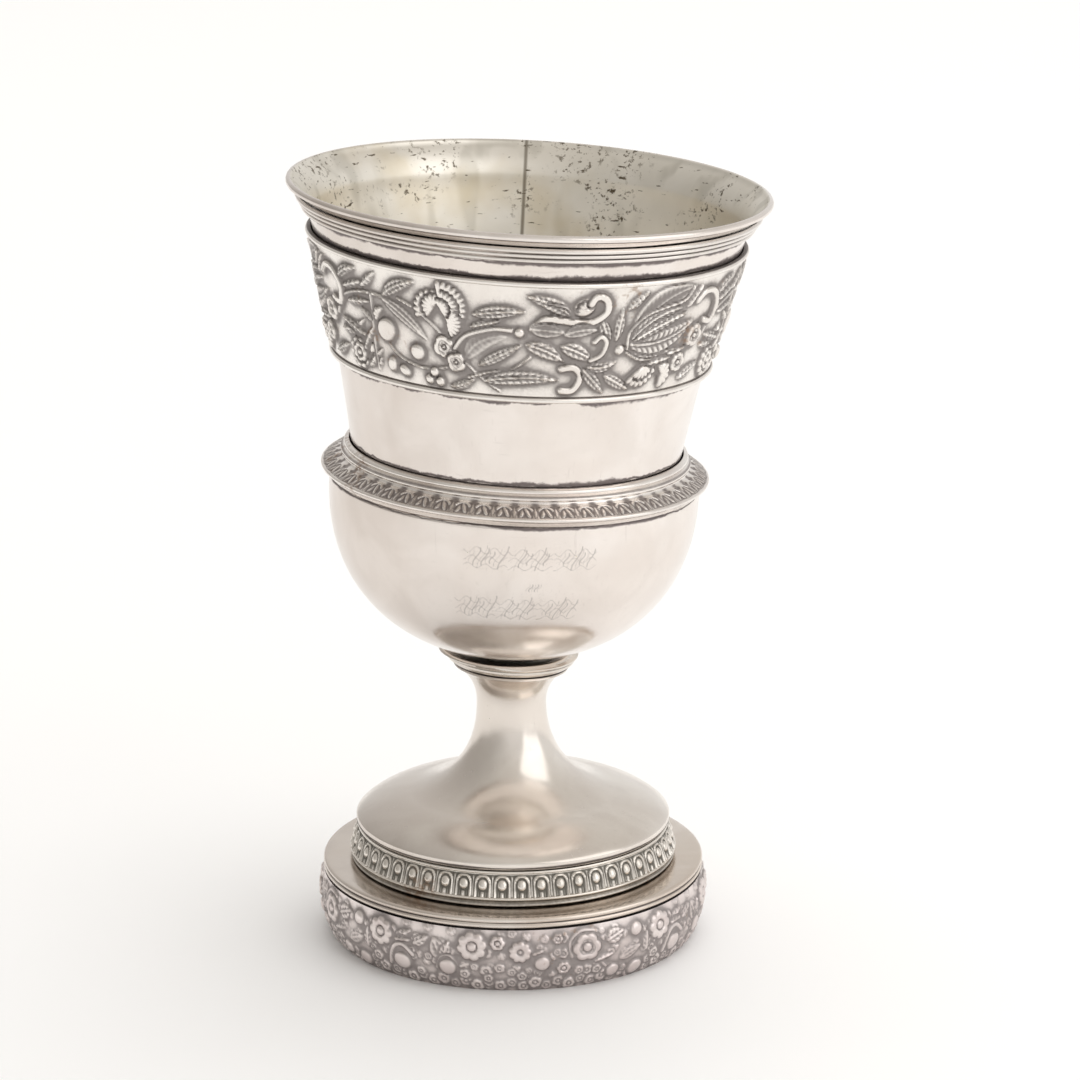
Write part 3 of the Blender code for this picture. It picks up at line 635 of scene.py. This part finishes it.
def cup_outside(height):
    """Outside radius of the tapered wall, hollowed a little, and of the lip that flares above it."""
    if height <= CUP_TOP:
        t = max((height - CUP_FOOT) / (CUP_TOP - CUP_FOOT), 0.0)
        return CUP_FOOT_RADIUS + WALL_SPREAD * t - 4 * WALL_HOLLOW * t * (1 - t)
    t = min((height - CUP_TOP) / (LIP - CUP_TOP), 1.0)
    taper = (WALL_SPREAD + 4 * WALL_HOLLOW) / (CUP_TOP - CUP_FOOT) * (LIP - CUP_TOP)
    return CUP_FOOT_RADIUS + WALL_SPREAD + taper * t + (LIP_FLARE - taper) * t**2.4


def bowl_at(drop, radius=BOWL_RADIUS):
    """Radius of the round bowl at a share of the way down from its widest height."""
    return radius * (1 - np.clip(drop, 0.0, 1.0) ** BOWL_FULLNESS) ** (1 / BOWL_FULLNESS)


def round_bowl(height):
    return bowl_at((BOWL_WIDEST - height) / (BOWL_WIDEST - BOWL_BASE))


depth_outside = BOWL_WIDEST - BOWL_BASE
depth_inside = depth_outside - SHEET_WALL
cup_outer = rows_at(cup_outside, np.linspace(163.7, CUP_TOP, 10))
cup_outer += rows_at(cup_outside, np.linspace(CUP_TOP, CUP_FOOT, 27)[1:])
cup_outer += [(35.2, 107.0), (35.1, 105.4), (35.3, 104.9), (37.2, 103.4), (39.0, 102.0), (39.4, 101.6), (39.5, 101.0)]
cup_outer += rows_at(round_bowl, np.linspace(BOWL_WIDEST, WRITTEN_TOP, 3))
written_rows = int((WRITTEN_TOP - WRITTEN_LOW) / 0.185)
cup_outer += rows_at(round_bowl, np.linspace(WRITTEN_TOP, WRITTEN_LOW, written_rows)[1:])
reached = math.asin((BOWL_WIDEST - WRITTEN_LOW) / depth_outside)
for i in range(1, 18):
    drop = math.sin(reached + (math.pi / 2 - reached) * i / 18)
    cup_outer.append((bowl_at(drop), BOWL_WIDEST - depth_outside * drop))
cup_outer += [(9.9, 63.3), (4.0, 63.3), (0.0, 63.3)]
inner_wall = [(0.0, 64.1), (4.0, 64.1), (9.5, 64.15)]
for i in range(1, 22):
    drop = math.cos(math.pi / 2 * i / 22)
    inner_wall.append((bowl_at(drop, BOWL_RADIUS - SHEET_WALL), BOWL_WIDEST - depth_inside * drop))
inner_wall = [point for point in inner_wall if point[0] < 38.6]
inner_wall += [(38.65, 100.2), (38.3, 101.3), (36.4, 102.9), (34.6, 104.3), (34.3, 105.2), (34.4, 107.0)]
inner_wall += [(cup_outside(height) - 0.82, height + 0.1) for height in np.linspace(CUP_FOOT, CUP_TOP, 16)]
inner_wall += [(cup_outside(height) - 0.95, height + 0.35) for height in np.linspace(CUP_TOP + 0.6, 163.3, 8)]
cup_profile = inner_wall + bead(50.34, 164.2, 0.74, 175, -40, 9) + cup_outer

# The fine front sector takes the engraving, and the rest of the round is spun in wider steps
cup = turned(cup_profile, 248, False, -WRITTEN_SIDE, 2 * WRITTEN_SIDE)
rest_of_cup = bpy.data.meshes.new("rest_of_cup")
rest = turned(cup_profile, 144, False, WRITTEN_SIDE, 360 - 2 * WRITTEN_SIDE)
rest.to_mesh(rest_of_cup)
rest.free()
cup.from_mesh(rest_of_cup)
bmesh.ops.remove_doubles(cup, verts=cup.verts, dist=0.01)
bmesh.ops.recalc_face_normals(cup, faces=cup.faces)

# Engraving: rows of shallow slanted strokes and fine flourishes, which spell nothing
script_sheet = sheet_of(52.0, WRITTEN_TOP - WRITTEN_LOW)


def cut(points, width, depth):
    """Cuts one engraved stroke, with sloping sides, through the points on the sheet."""
    groove = depth * np.clip(1 - nearest(script_sheet, points) / width, 0, 1)
    script_sheet["rise"] = np.maximum(script_sheet["rise"], groove)


for row_top, row_height, lefts in ((0.9, 5.4, (13.1, 22.5, 31.9)), (9.2, 1.7, (25.4,)),
                                   (12.3, 5.8, (10.9, 20.2, 29.5))):
    small = row_height < 3
    for turn, left in enumerate(lefts):
        for i in range(5 if small else 8):
            x = left + i * (0.6 if small else 0.86)
            swell = 1.0 if small else 1 - 0.5 * abs((i + 2 * turn) % 5 - 2) / 2
            top, fall = row_top + row_height * (0.5 - 0.5 * swell), row_height * 0.95 * swell
            cut([(x + 0.42 * fall * (1 - t) + 0.26 * math.sin(math.tau * t), top + fall * t)
                 for t in (0.0, 0.2, 0.4, 0.6, 0.8, 1.0)], 0.19 if i % 2 else 0.14, 0.95 if i % 2 else 0.7)
        if small:
            continue
        for level, swing, shift in ((0.22, 0.75, 0.0), (0.55, 0.60, 1.6 + turn), (0.86, 0.50, 3.0 - turn)):
            cut([(left - 1.2 + k * 0.46, row_top + row_height * level + swing * math.sin(k * 0.78 + shift))
                 for k in range(21)], 0.14, 0.75)
        for k in range(40):
            x, y = left - 1.4 + k * 2.39 % 9.4, row_top - 0.6 + k * 1.91 % (row_height + 1.2)
            cut([(x, y), (x + 0.30, y - 0.36)], 0.13, 0.5)


def chase_cup(radius, around, height):
    written = (radius > round_bowl(height) - 0.3) & (height > WRITTEN_LOW) & (height < WRITTEN_TOP)
    along = around * 39 * math.pi / 180 + 22.0
    depth = sampled(script_sheet, along, WRITTEN_TOP - height)[0]
    depth = np.where(written & (np.abs(around) < WRITTEN_SIDE), depth, 0)
    hammered = planished(0.032, 17.0, 0.6)(radius, around, height)[0]
    return np.where((height > 162.5) | (height < 66), radius, hammered) - 0.11 * depth, depth


def cup_outside_silver():
    """Polished silver with the tarnish left along the edges of the strips, painted shade as well under the girdle's
    overhang, and darker cuts in the engraving.
    """
    # The line at 101.5, just under the girdle's overhang, is the joint's tarnish and painted shade from the overhang
    # as well
    material = plain_silver("cup_outside_silver", (0.90, 0.85, 0.81), (0.83, 0.765, 0.715), 0.14,
                            [(155.0, 0.75, 3.0), (127.8, 0.65, 3.4), (109.6, 0.75, 2.6), (158.2, 0.6, 2.0),
                             (101.5, 0.45, 1.6)], (0.21, 0.18, 0.175))
    tree = material.node_tree
    base = tree.nodes["Principled BSDF"].inputs["Base Color"]
    cut_depth = wired(tree, "ShaderNodeAttribute", attribute_name="recess").outputs["Fac"]
    cuts = ramp(tree, cut_depth, 0.05, 0.8, 0.0, 0.7)
    tree.links.new(blend(tree, cuts, base.links[0].from_socket, (0.33, 0.30, 0.29)), base)
    return material


def cup_inside_silver():
    """The inside: dull grey-yellow from drink, with upright streaks of painted reflection, stains, dark pits, nicks
    and a dark seam.
    """
    material, tree = blank_silver("cup_inside_silver")
    spot = wired(tree, "ShaderNodeTexCoord").outputs["Object"]
    color = blend(tree, put(tree, clouds, size=60.0)["Mask"], (0.89, 0.85, 0.775), (0.81, 0.77, 0.69))
    # Painted reflection: faint upright streaks darken the colour, standing in for the strips that the inside would
    # mirror
    painted_reflection_streaks = streaks(tree, spot, (130.0, 130.0, 6.0), 2.0)
    color = blend(tree, ramp(tree, painted_reflection_streaks, 0.52, 0.66, 0.0, 0.45), color, (0.52, 0.49, 0.42))
    stain = noise(tree, spot, 34.0, 4.0)
    color = blend(tree, ramp(tree, stain, 0.54, 0.72, 0.0, 0.6), color, (0.62, 0.52, 0.34))
    pits = ramp(tree, noise(tree, spot, 820.0, 5.0, Roughness=0.65), 0.55, 0.64)
    patches = ramp(tree, noise(tree, spot, 80.0, 3.0), 0.46, 0.62)
    nicks = ramp(tree, streaks(tree, spot, (330.0, 330.0, 1500.0), 3.0, (0.3, 0.9, 0.2)), 0.66, 0.72)
    marks = reckon(tree, "MAXIMUM", reckon(tree, "MULTIPLY", pits, patches), nicks)
    place = wired(tree, "ShaderNodeSeparateXYZ", {0: spot}).outputs
    aside = reckon(tree, "MULTIPLY_ADD", place["Z"], -math.tan(math.radians(LEAN)), place["X"])
    aside = reckon(tree, "ABSOLUTE", reckon(tree, "ADD", aside, 0.0095))
    at_back, on_wall = ramp(tree, place["Y"], 0.0, 0.001), ramp(tree, place["Z"], 0.108, 0.120)
    seam = reckon(tree, "MULTIPLY", ramp(tree, aside, 0.00012, 0.0006, 0.7, 0.0), at_back)
    marks = reckon(tree, "MAXIMUM", marks, reckon(tree, "MULTIPLY", seam, on_wall))
    color = blend(tree, marks, color, (0.16, 0.13, 0.09))
    surface(tree, color, ramp(tree, marks, 0.0, 1.0, 0.40, 0.6), marks, 0.25, 0.00006, invert=True)
    return material


made_cup = finish(cup, "cup_silver", "bowl", [cup_outside_silver(), cup_inside_silver()],
                  chase_cup)
faces = made_cup.data.polygons
normals, centers = np.empty(len(faces) * 3), np.empty(len(faces) * 3)
faces.foreach_get("normal", normals)
faces.foreach_get("center", centers)
normals, centers = normals.reshape(-1, 3), centers.reshape(-1, 3) * 1000
height = centers[:, 2]
from_axis = centers[:, 0] - FOOT_AXIS - (height - LEAN_POINT) * math.tan(math.radians(LEAN))
facing = normals[:, 0] * from_axis + normals[:, 1] * centers[:, 1]
inside = ((facing < 0) & (height > 80)) | ((normals[:, 2] > 0.2) & (height < 100))
inside &= ~((height > 99) & (np.hypot(from_axis, centers[:, 1]) > 50.2))
faces.foreach_set("material_index", inside.astype(np.int32))


# Girdle. Two drawn reeds and a row of small leaf tips on a sloping strip with a plain edge. It is one moulding,
# bent round the waist of the cup and soldered on its ledge.
TIP_COUNT, TIP_PITCH, TIP_LENGTH = 57, 4.4, 3.6
SLOPE_TOP, SLOPE_HEIGHT, SLOPE_RUN, SLOPE_FALL = 37.7, 105.8, 3.1, 1.7
tip_sheet = sheet_of(TIP_PITCH, TIP_LENGTH)
stem(tip_sheet, [(0.35, 3.4), (0.55, 1.5), (1.35, 0.45), (2.2, 0.25), (3.05, 0.45), (3.85, 1.5), (4.05, 3.4)], 0.62,
     0.9)
leaf(tip_sheet, (2.2, 0.5), (1.15, 3.5), 1.0, 0.9)
leaf(tip_sheet, (2.2, 0.5), (3.25, 3.5), 1.0, 0.9)
leaf(tip_sheet, (0.0, 0.7), (0.0, 3.6), 0.75, 0.7)
chased(tip_sheet, 0.2)


def chase_girdle(radius, around, height):
    slope = (radius > 37.6) & (radius < 41.0) & (height > 103.75) & (height < 105.9)
    along = around * TIP_COUNT * TIP_PITCH / 360 % TIP_PITCH
    rise, recess = sampled(tip_sheet, along, (radius - SLOPE_TOP) / SLOPE_RUN * TIP_LENGTH)
    recess = np.where(slope, recess, 0.0)
    dashes = 0.50 + 0.38 * np.cos(np.radians(around * TIP_COUNT))
    recess = np.where((height > 105.7) & (height < 106.4), dashes, recess)
    recess = np.where((height > 107.2) & (height < 107.6), 0.75, recess)
    return radius + np.where(slope, rise * 0.7, 0), np.where(radius < 35.9, 0.9, recess)


girdle_profile = [(35.6, 109.1), (35.9, 109.1)]
girdle_profile += bead(36.05, 108.3, 0.62, 75, -50, 7) + bead(36.7, 107.0, 0.62, 60, -55, 7)
girdle_profile += [(37.1, 106.2), (37.3, 105.95), (SLOPE_TOP, SLOPE_HEIGHT)]
girdle_profile += [(SLOPE_TOP + SLOPE_RUN * i / 16, SLOPE_HEIGHT - SLOPE_FALL * i / 16) for i in range(1, 17)]
girdle_profile += bead(40.95, 103.65, 0.42, 80, -80, 8)
girdle_profile += [(40.6, 102.9), (40.0, 102.3), (39.75, 102.0), (37.6, 103.65), (35.5, 105.3)]
girdle_relief = relief_silver("girdle_silver", (0.89, 0.845, 0.80), (0.78, 0.72, 0.68), (0.29, 0.255, 0.245), 0.66,
                              0.22, 38.0)
finish(turned(girdle_profile, TIP_COUNT * 16), "girdle_silver", "girdle", [girdle_relief],
       chase_girdle)


# Flower band. A broad strip with leaves, tulips, roses and berries between two beads, made like the foot's but
# bolder, and soldered round the tapered wall. The same run of flowers comes three times round.
BAND_LOW, BAND_TOP, BAND_EDGE, BAND_RELIEF = 128.1, 154.5, 1.3, 1.15
BAND_REPEAT, BAND_DEGREE = 120.0, 0.77
band = sheet_of(BAND_REPEAT * BAND_DEGREE, BAND_TOP - BAND_LOW, BAND_DEGREE, 0.7)

# Leaves and petals at the left of the run
shell(band, (-53.5, 20.6), 3.4, 20, 320, 9)
blossom(band, (-53, 20.4), 2.3, 7, 0.8, rings=2)
shell(band, (-47.5, 20.5), 3, -60, 150, 6)
leaf(band, (-61, 16.2), (-49, 12.6), 2.6, teeth=7, bend=-0.12)
leaf(band, (-60, 13.8), (-47, 16.6), 2.2, teeth=6)
leaf(band, (-55.5, 9.6), (-45.6, 8.4), 2, teeth=6)
leaf(band, (-59.5, 5.6), (-50, 1.9), 2.6, teeth=6, bend=0.08)
leaf(band, (-57, 6.8), (-47, 4.2), 2, teeth=5)
leaf(band, (-48.5, 5.6), (-42.5, 1.6), 2, teeth=5)
leaf(band, (-49.5, 23), (-43, 18.2), 2, teeth=5)
stem(band, ((-62, 13.3), (-59.6, 10.4), (-56, 8.3), (-50, 6.9), (-45, 6.5), (-41, 6.6)), 0.9)
stem(band, ((-45, 6.7), (-45.2, 12.5), (-45.6, 17), (-45.4, 23)), 0.6)
leaf(band, (-45.4, 12.6), (-49.6, 10.2), 1.8, teeth=4)
leaf(band, (-45.5, 14), (-50, 18.6), 1.9, teeth=4)

# Long leaf, fruit and berries
leaf(band, (-40.5, 6.3), (-29.6, 1.9), 3, teeth=8, bend=0.07)
leaf(band, (-41, 6.7), (-27, 14.2), 3.1, teeth=12, bend=0.05, hollow=True)
stem(band, ((-35.5, 6.2), (-30.5, 7.6), (-26, 10), (-22, 12.7)), 0.75)
stem(band, ((-40.5, 16), (-37.6, 18.4), (-33.2, 19.8), (-27, 20.4), (-21.2, 19.4)), 0.6)
shell(band, (-42.2, 10.8), 2, 60, 180, 4, 0.7)
berry(band, (-40.3, 13.6), 2.5, tall=1.12, turn=50)
berry(band, (-30.2, 17.1), 1.85)
berry(band, (-39.4, 20.9), 1.35, tall=1.3, turn=80)
berry(band, (-35.1, 21.7), 1.2, tall=1.35, turn=-30)
for x, y in ((-26.8, 22.5), (-23.6, 22.7), (-25.2, 20.8)):
    berry(band, (x, y), 1.15)

# Big frilled leaf, its lobes folded over one another
for x, y, radius, start, sweep, ribs in ((-24.6, 7.4, 4.6, 60, 150, 8), (-22.6, 6.4, 5.6, -65, 165, 12),
                                         (-24.2, 6.6, 3.0, 70, 170, 7), (-22.4, 6.6, 3.9, -60, 150, 9),
                                         (-21.0, 9.6, 3.4, -75, 130, 7), (-22.8, 6.8, 2.3, -50, 160, 6)):
    shell(band, (x, y), radius, start, sweep, ribs)

# Two-lobed blossom, the arched stalk with its ball, and the leaves about it
leaf(band, (-20.6, 23.4), (-12.6, 20.4), 1.8, bend=-0.10)
blossom(band, (-21.8, 15), 2.6, 4, 0.5, rings=2, turn=20)
blossom(band, (-18.4, 18), 2.3, 4, 0.5, rings=2, turn=60)
leaf(band, (-16.2, 17.2), (-4.2, 11.4), 4, 0.42, bend=0.16, hollow=True)
leaf(band, (-14.6, 9.9), (-6.4, 8.1), 2.1, teeth=6)
leaf(band, (-13.8, 7.2), (0.2, 5.8), 3.1, teeth=10, bend=0.03)
stem(band, ((-18.8, 15), (-16.6, 12.6), (-13.6, 11.2), (-7.7, 9.9), (-2, 10.1)), 1.15, 0.75, 0.35)
leaf(band, (-12.2, 18.2), (-0.4, 13), 2.6, teeth=9)
berry(band, (-1.2, 10.4), 1.15)
stem(band, ((-15.8, 17.8), (-12, 20.4), (-6, 23.4)), 0.6)
stem(band, ((-15, 21), (-9, 19.4), (-3, 18.6), (2, 15.6)), 0.7)
leaf(band, (-10.8, 21.4), (10.6, 20.6), 3.5, teeth=11, bend=0.05)

# Tulip seen from the side, with scrolled petals
leaf(band, (12.8, 6.6), (0, 2.4), 2.9, bend=-0.06)
stem(band, ((6, 3.8), (10.5, 4.6), (12.8, 6.4)), 0.6)
berry(band, (15.4, 4.5), 2, tall=1.25, turn=30)
shell(band, (15.8, 5), 1.9, 20, 180, 5, 0.8)
leaf(band, (19.5, 6.5), (22.8, 15.5), 2.4, bend=0.10)
stem(band, ((2.2, 9.4), (5.4, 7.2), (9.5, 7.4), (13.6, 7.8), (18, 7.7), (21.6, 5.6), (21, 3), (18.3, 2.3),
            (17, 3.8)), 1.7, 0.9, 0.25)
leaf(band, (1.6, 9.4), (11.2, 10), 3.1, hollow=True)
leaf(band, (10.6, 10.6), (20, 9.6), 2.8, hollow=True, bend=0.08)
leaf(band, (0.6, 12.8), (11.4, 16.4), 3.6, teeth=6, bend=0.05)
leaf(band, (10, 13), (19.6, 16.4), 3.6, teeth=6, bend=0.05)
stem(band, ((18.8, 16.2), (21.8, 15), (22.8, 12.4), (21, 11), (19.4, 12.2)), 1.2, 0.85, 0.2)
stem(band, ((10.9, 18), (14.4, 17.8), (16.6, 19.8), (14.8, 22.6), (11.4, 22.8)), 1.7, 0.85, 0.2)
leaf(band, (16.8, 18), (24.2, 23.6), 2.6)
leaf(band, (17.9, 17.6), (27, 16.6), 2.4, bend=-0.10)
leaf(band, (23.4, 19.6), (32.4, 23.2), 2.4)
leaf(band, (25.5, 12.2), (26.2, 5), 2.4, teeth=6)
berry(band, (27, 14.1), 1.2)

# Rose of many petals, seen opening to the right, with its leaves
leaf(band, (27.6, 5.4), (33.2, 1.7), 2.2, teeth=6)
leaf(band, (32.4, 5.4), (41.6, 1.6), 2.4, teeth=7)
leaf(band, (29.8, 15.6), (51.6, 15.4), 3.2, bend=-0.05, teeth=8)
leaf(band, (30, 12.4), (50, 2), 6.2, 0.7, bend=0.16, hollow=True)
leaf(band, (29.2, 13), (52, 9.4), 5.6, 0.8, teeth=13, bend=-0.10)
leaf(band, (30, 12.2), (46, 6.2), 3.8, 0.85, bend=0.12, teeth=10)
leaf(band, (30.6, 12.6), (48.6, 7.6), 2.6, 0.95, bend=0.05, teeth=10)
stem(band, ((29.4, 14.4), (29.3, 10.4), (33.7, 7), (40, 5.6), (46.1, 4.6), (48.6, 2)), 0.75, 0.8)
stem(band, ((29.3, 14.8), (33.7, 16.6), (39, 16.9), (43.4, 16.6)), 0.7, 0.75)
shell(band, (35, 18.4), 4.6, -140, 150, 8)
shell(band, (35.4, 18.2), 3.1, -130, 130, 6, 0.95)
shell(band, (43, 20.6), 3.1, -90, 210, 7)
leaf(band, (37, 18), (46.2, 17), 1.9, teeth=5)
blossom(band, (53.8, 13.2), 2.7, 5, 0.7, rings=2)
blossom(band, (49.2, 18.6), 2.3, 5, 0.6, rings=2)
leaf(band, (51.6, 22.6), (60.4, 19.8), 2.5, teeth=6)
leaf(band, (47.8, 6.4), (52.4, 1.9), 1.9)
stem(band, ((51.6, 5.4), (54.5, 3.7), (59, 4.2), (61.8, 7.2), (60.6, 10.6), (57, 10.2)), 1.6, 0.85, 0.25)
chased(band, 0.24)


def band_ground(height):
    """Radius of the band's ground, which stands out from the wall, on a straight slope."""
    low, high = BAND_LOW + BAND_EDGE, BAND_TOP - BAND_EDGE
    t = (np.asarray(height, float) - low) / (high - low)
    return cup_outside(low) + (cup_outside(high) - cup_outside(low)) * t + 1.1


def chase_band(radius, around, height):
    above, below = height - BAND_LOW - BAND_EDGE, BAND_TOP - BAND_EDGE - height
    outer = (radius > band_ground(height) - 0.2) & (above > -0.05) & (below > -0.05)
    rise, recess = sampled(band, (around % BAND_REPEAT) * BAND_DEGREE, BAND_TOP - height)
    near_edge = np.clip(np.minimum(above, below) / 0.5, 0, 1)
    edge = np.where(radius < band_ground(height) + 0.05, 0.9, 0.12)
    return radius + np.where(outer, rise * near_edge * BAND_RELIEF - 0.18, 0), np.where(outer, recess, edge)


band_profile = rows_at(cup_outside, (BAND_LOW, 134.7, 141.3, 147.9, BAND_TOP), 0.3)
band_profile += bead(float(band_ground(BAND_TOP - 0.6)) - 0.1, BAND_TOP - 0.6, 0.6, 90, -90, 8)
band_profile += rows_at(band_ground, np.linspace(BAND_TOP - BAND_EDGE, BAND_LOW + BAND_EDGE, 80))
band_profile += bead(float(band_ground(BAND_LOW + 0.6)) - 0.1, BAND_LOW + 0.6, 0.6, 90, -90, 8)
flower_relief = relief_silver("flower_band_silver", (0.90, 0.86, 0.815), (0.80, 0.75, 0.705), (0.30, 0.275, 0.263),
                              0.80, 0.24)
finish(turned(band_profile, 960), "flower_band_silver", "flower_band", [flower_relief],
       chase_band)


# Lip reeding. Three fine drawn wires of silver, side by side in one strip that is bent round the cup and soldered
# under the flare of the lip.
reeding_profile = rows_at(cup_outside, (161.9, 160.3, 158.7), 0.3)
for height in (159.15, 160.25, 161.35):
    reeding_profile += bead(cup_outside(height) + 0.62, height, 0.52, -75, 60, 6)
reeding_silver = plain_silver("reeding_silver", (0.86, 0.82, 0.78), (0.78, 0.74, 0.70), 0.16,
                              [(159.7, 0.18, 0.2), (160.8, 0.18, 0.2), (158.6, 0.25, 0.3)])
finish(turned(reeding_profile, 320), "reeding_silver", "lip_reeding", [reeding_silver])


# Studio: a plain pale floor, soft light all round, and the camera where the photograph was taken
floor_edit = bmesh.new()
bmesh.ops.create_grid(floor_edit, x_segments=1, y_segments=1, size=9.0)
floor_mesh = bpy.data.meshes.new("studio_floor")
floor_edit.to_mesh(floor_mesh)
floor_edit.free()
floor = bpy.data.objects.new("studio_floor", floor_mesh)
bpy.context.scene.collection.objects.link(floor)
paper = bpy.data.materials.new("white_paper")
paper.use_nodes = True
paper_inputs = paper.node_tree.nodes["Principled BSDF"].inputs
paper_inputs["Base Color"].default_value = (0.95, 0.95, 0.95, 1.0)
paper_inputs["Roughness"].default_value = 0.9
floor_mesh.materials.append(paper)

world = bpy.data.worlds.new("studio")
bpy.context.scene.world = world
world.use_nodes = True
sky = world.node_tree
direction = wired(sky, "ShaderNodeTexCoord").outputs["Generated"]
part = wired(sky, "ShaderNodeSeparateXYZ", {0: direction})
up_share = ramp(sky, part.outputs["Z"], 0.05, 0.85, 0.0, 1.0)
tone = blend(sky, up_share, (1.0, 0.99, 0.975), (0.80, 0.765, 0.72))
side_share = ramp(sky, part.outputs["X"], -0.95, 0.1, 0.0, 1.0)
tone = blend(sky, side_share, (0.55, 0.53, 0.50), tone)
sky.links.new(tone, sky.nodes["Background"].inputs["Color"])
sky.nodes["Background"].inputs["Strength"].default_value = 0.84


def softbox(name, place, size, power, seen):
    """A square soft light that faces the goblet. The silver mirrors it only if it is seen."""
    lamp = bpy.data.lights.new(name, "AREA")
    lamp.size = size
    lamp.energy = power
    made = bpy.data.objects.new(name, lamp)
    made.location = place
    made.rotation_euler = (made.location - Vector((0.0, 0.0, 0.09))).to_track_quat("Z", "Y").to_euler()
    made.visible_glossy = seen
    bpy.context.scene.collection.objects.link(made)


softbox("overhead_light", (0.5, 0.9, 3.2), 3.2, 60.0, False)
softbox("right_window", (1.4, -0.85, 1.0), 1.9, 8.0, True)

aim_height = 0.0876
camera = bpy.data.objects.new("camera", bpy.data.cameras.new("camera"))
camera.location = (0.00211, -0.865, 0.3375)
camera.rotation_euler = (math.atan2(-camera.location.y, camera.location.z - aim_height), 0.0, 0.0)
camera.data.lens = 140.17
camera.data.sensor_width = 36.0
bpy.context.scene.collection.objects.link(camera)
bpy.context.scene.camera = camera
bpy.context.scene.view_settings.view_transform = "Standard"
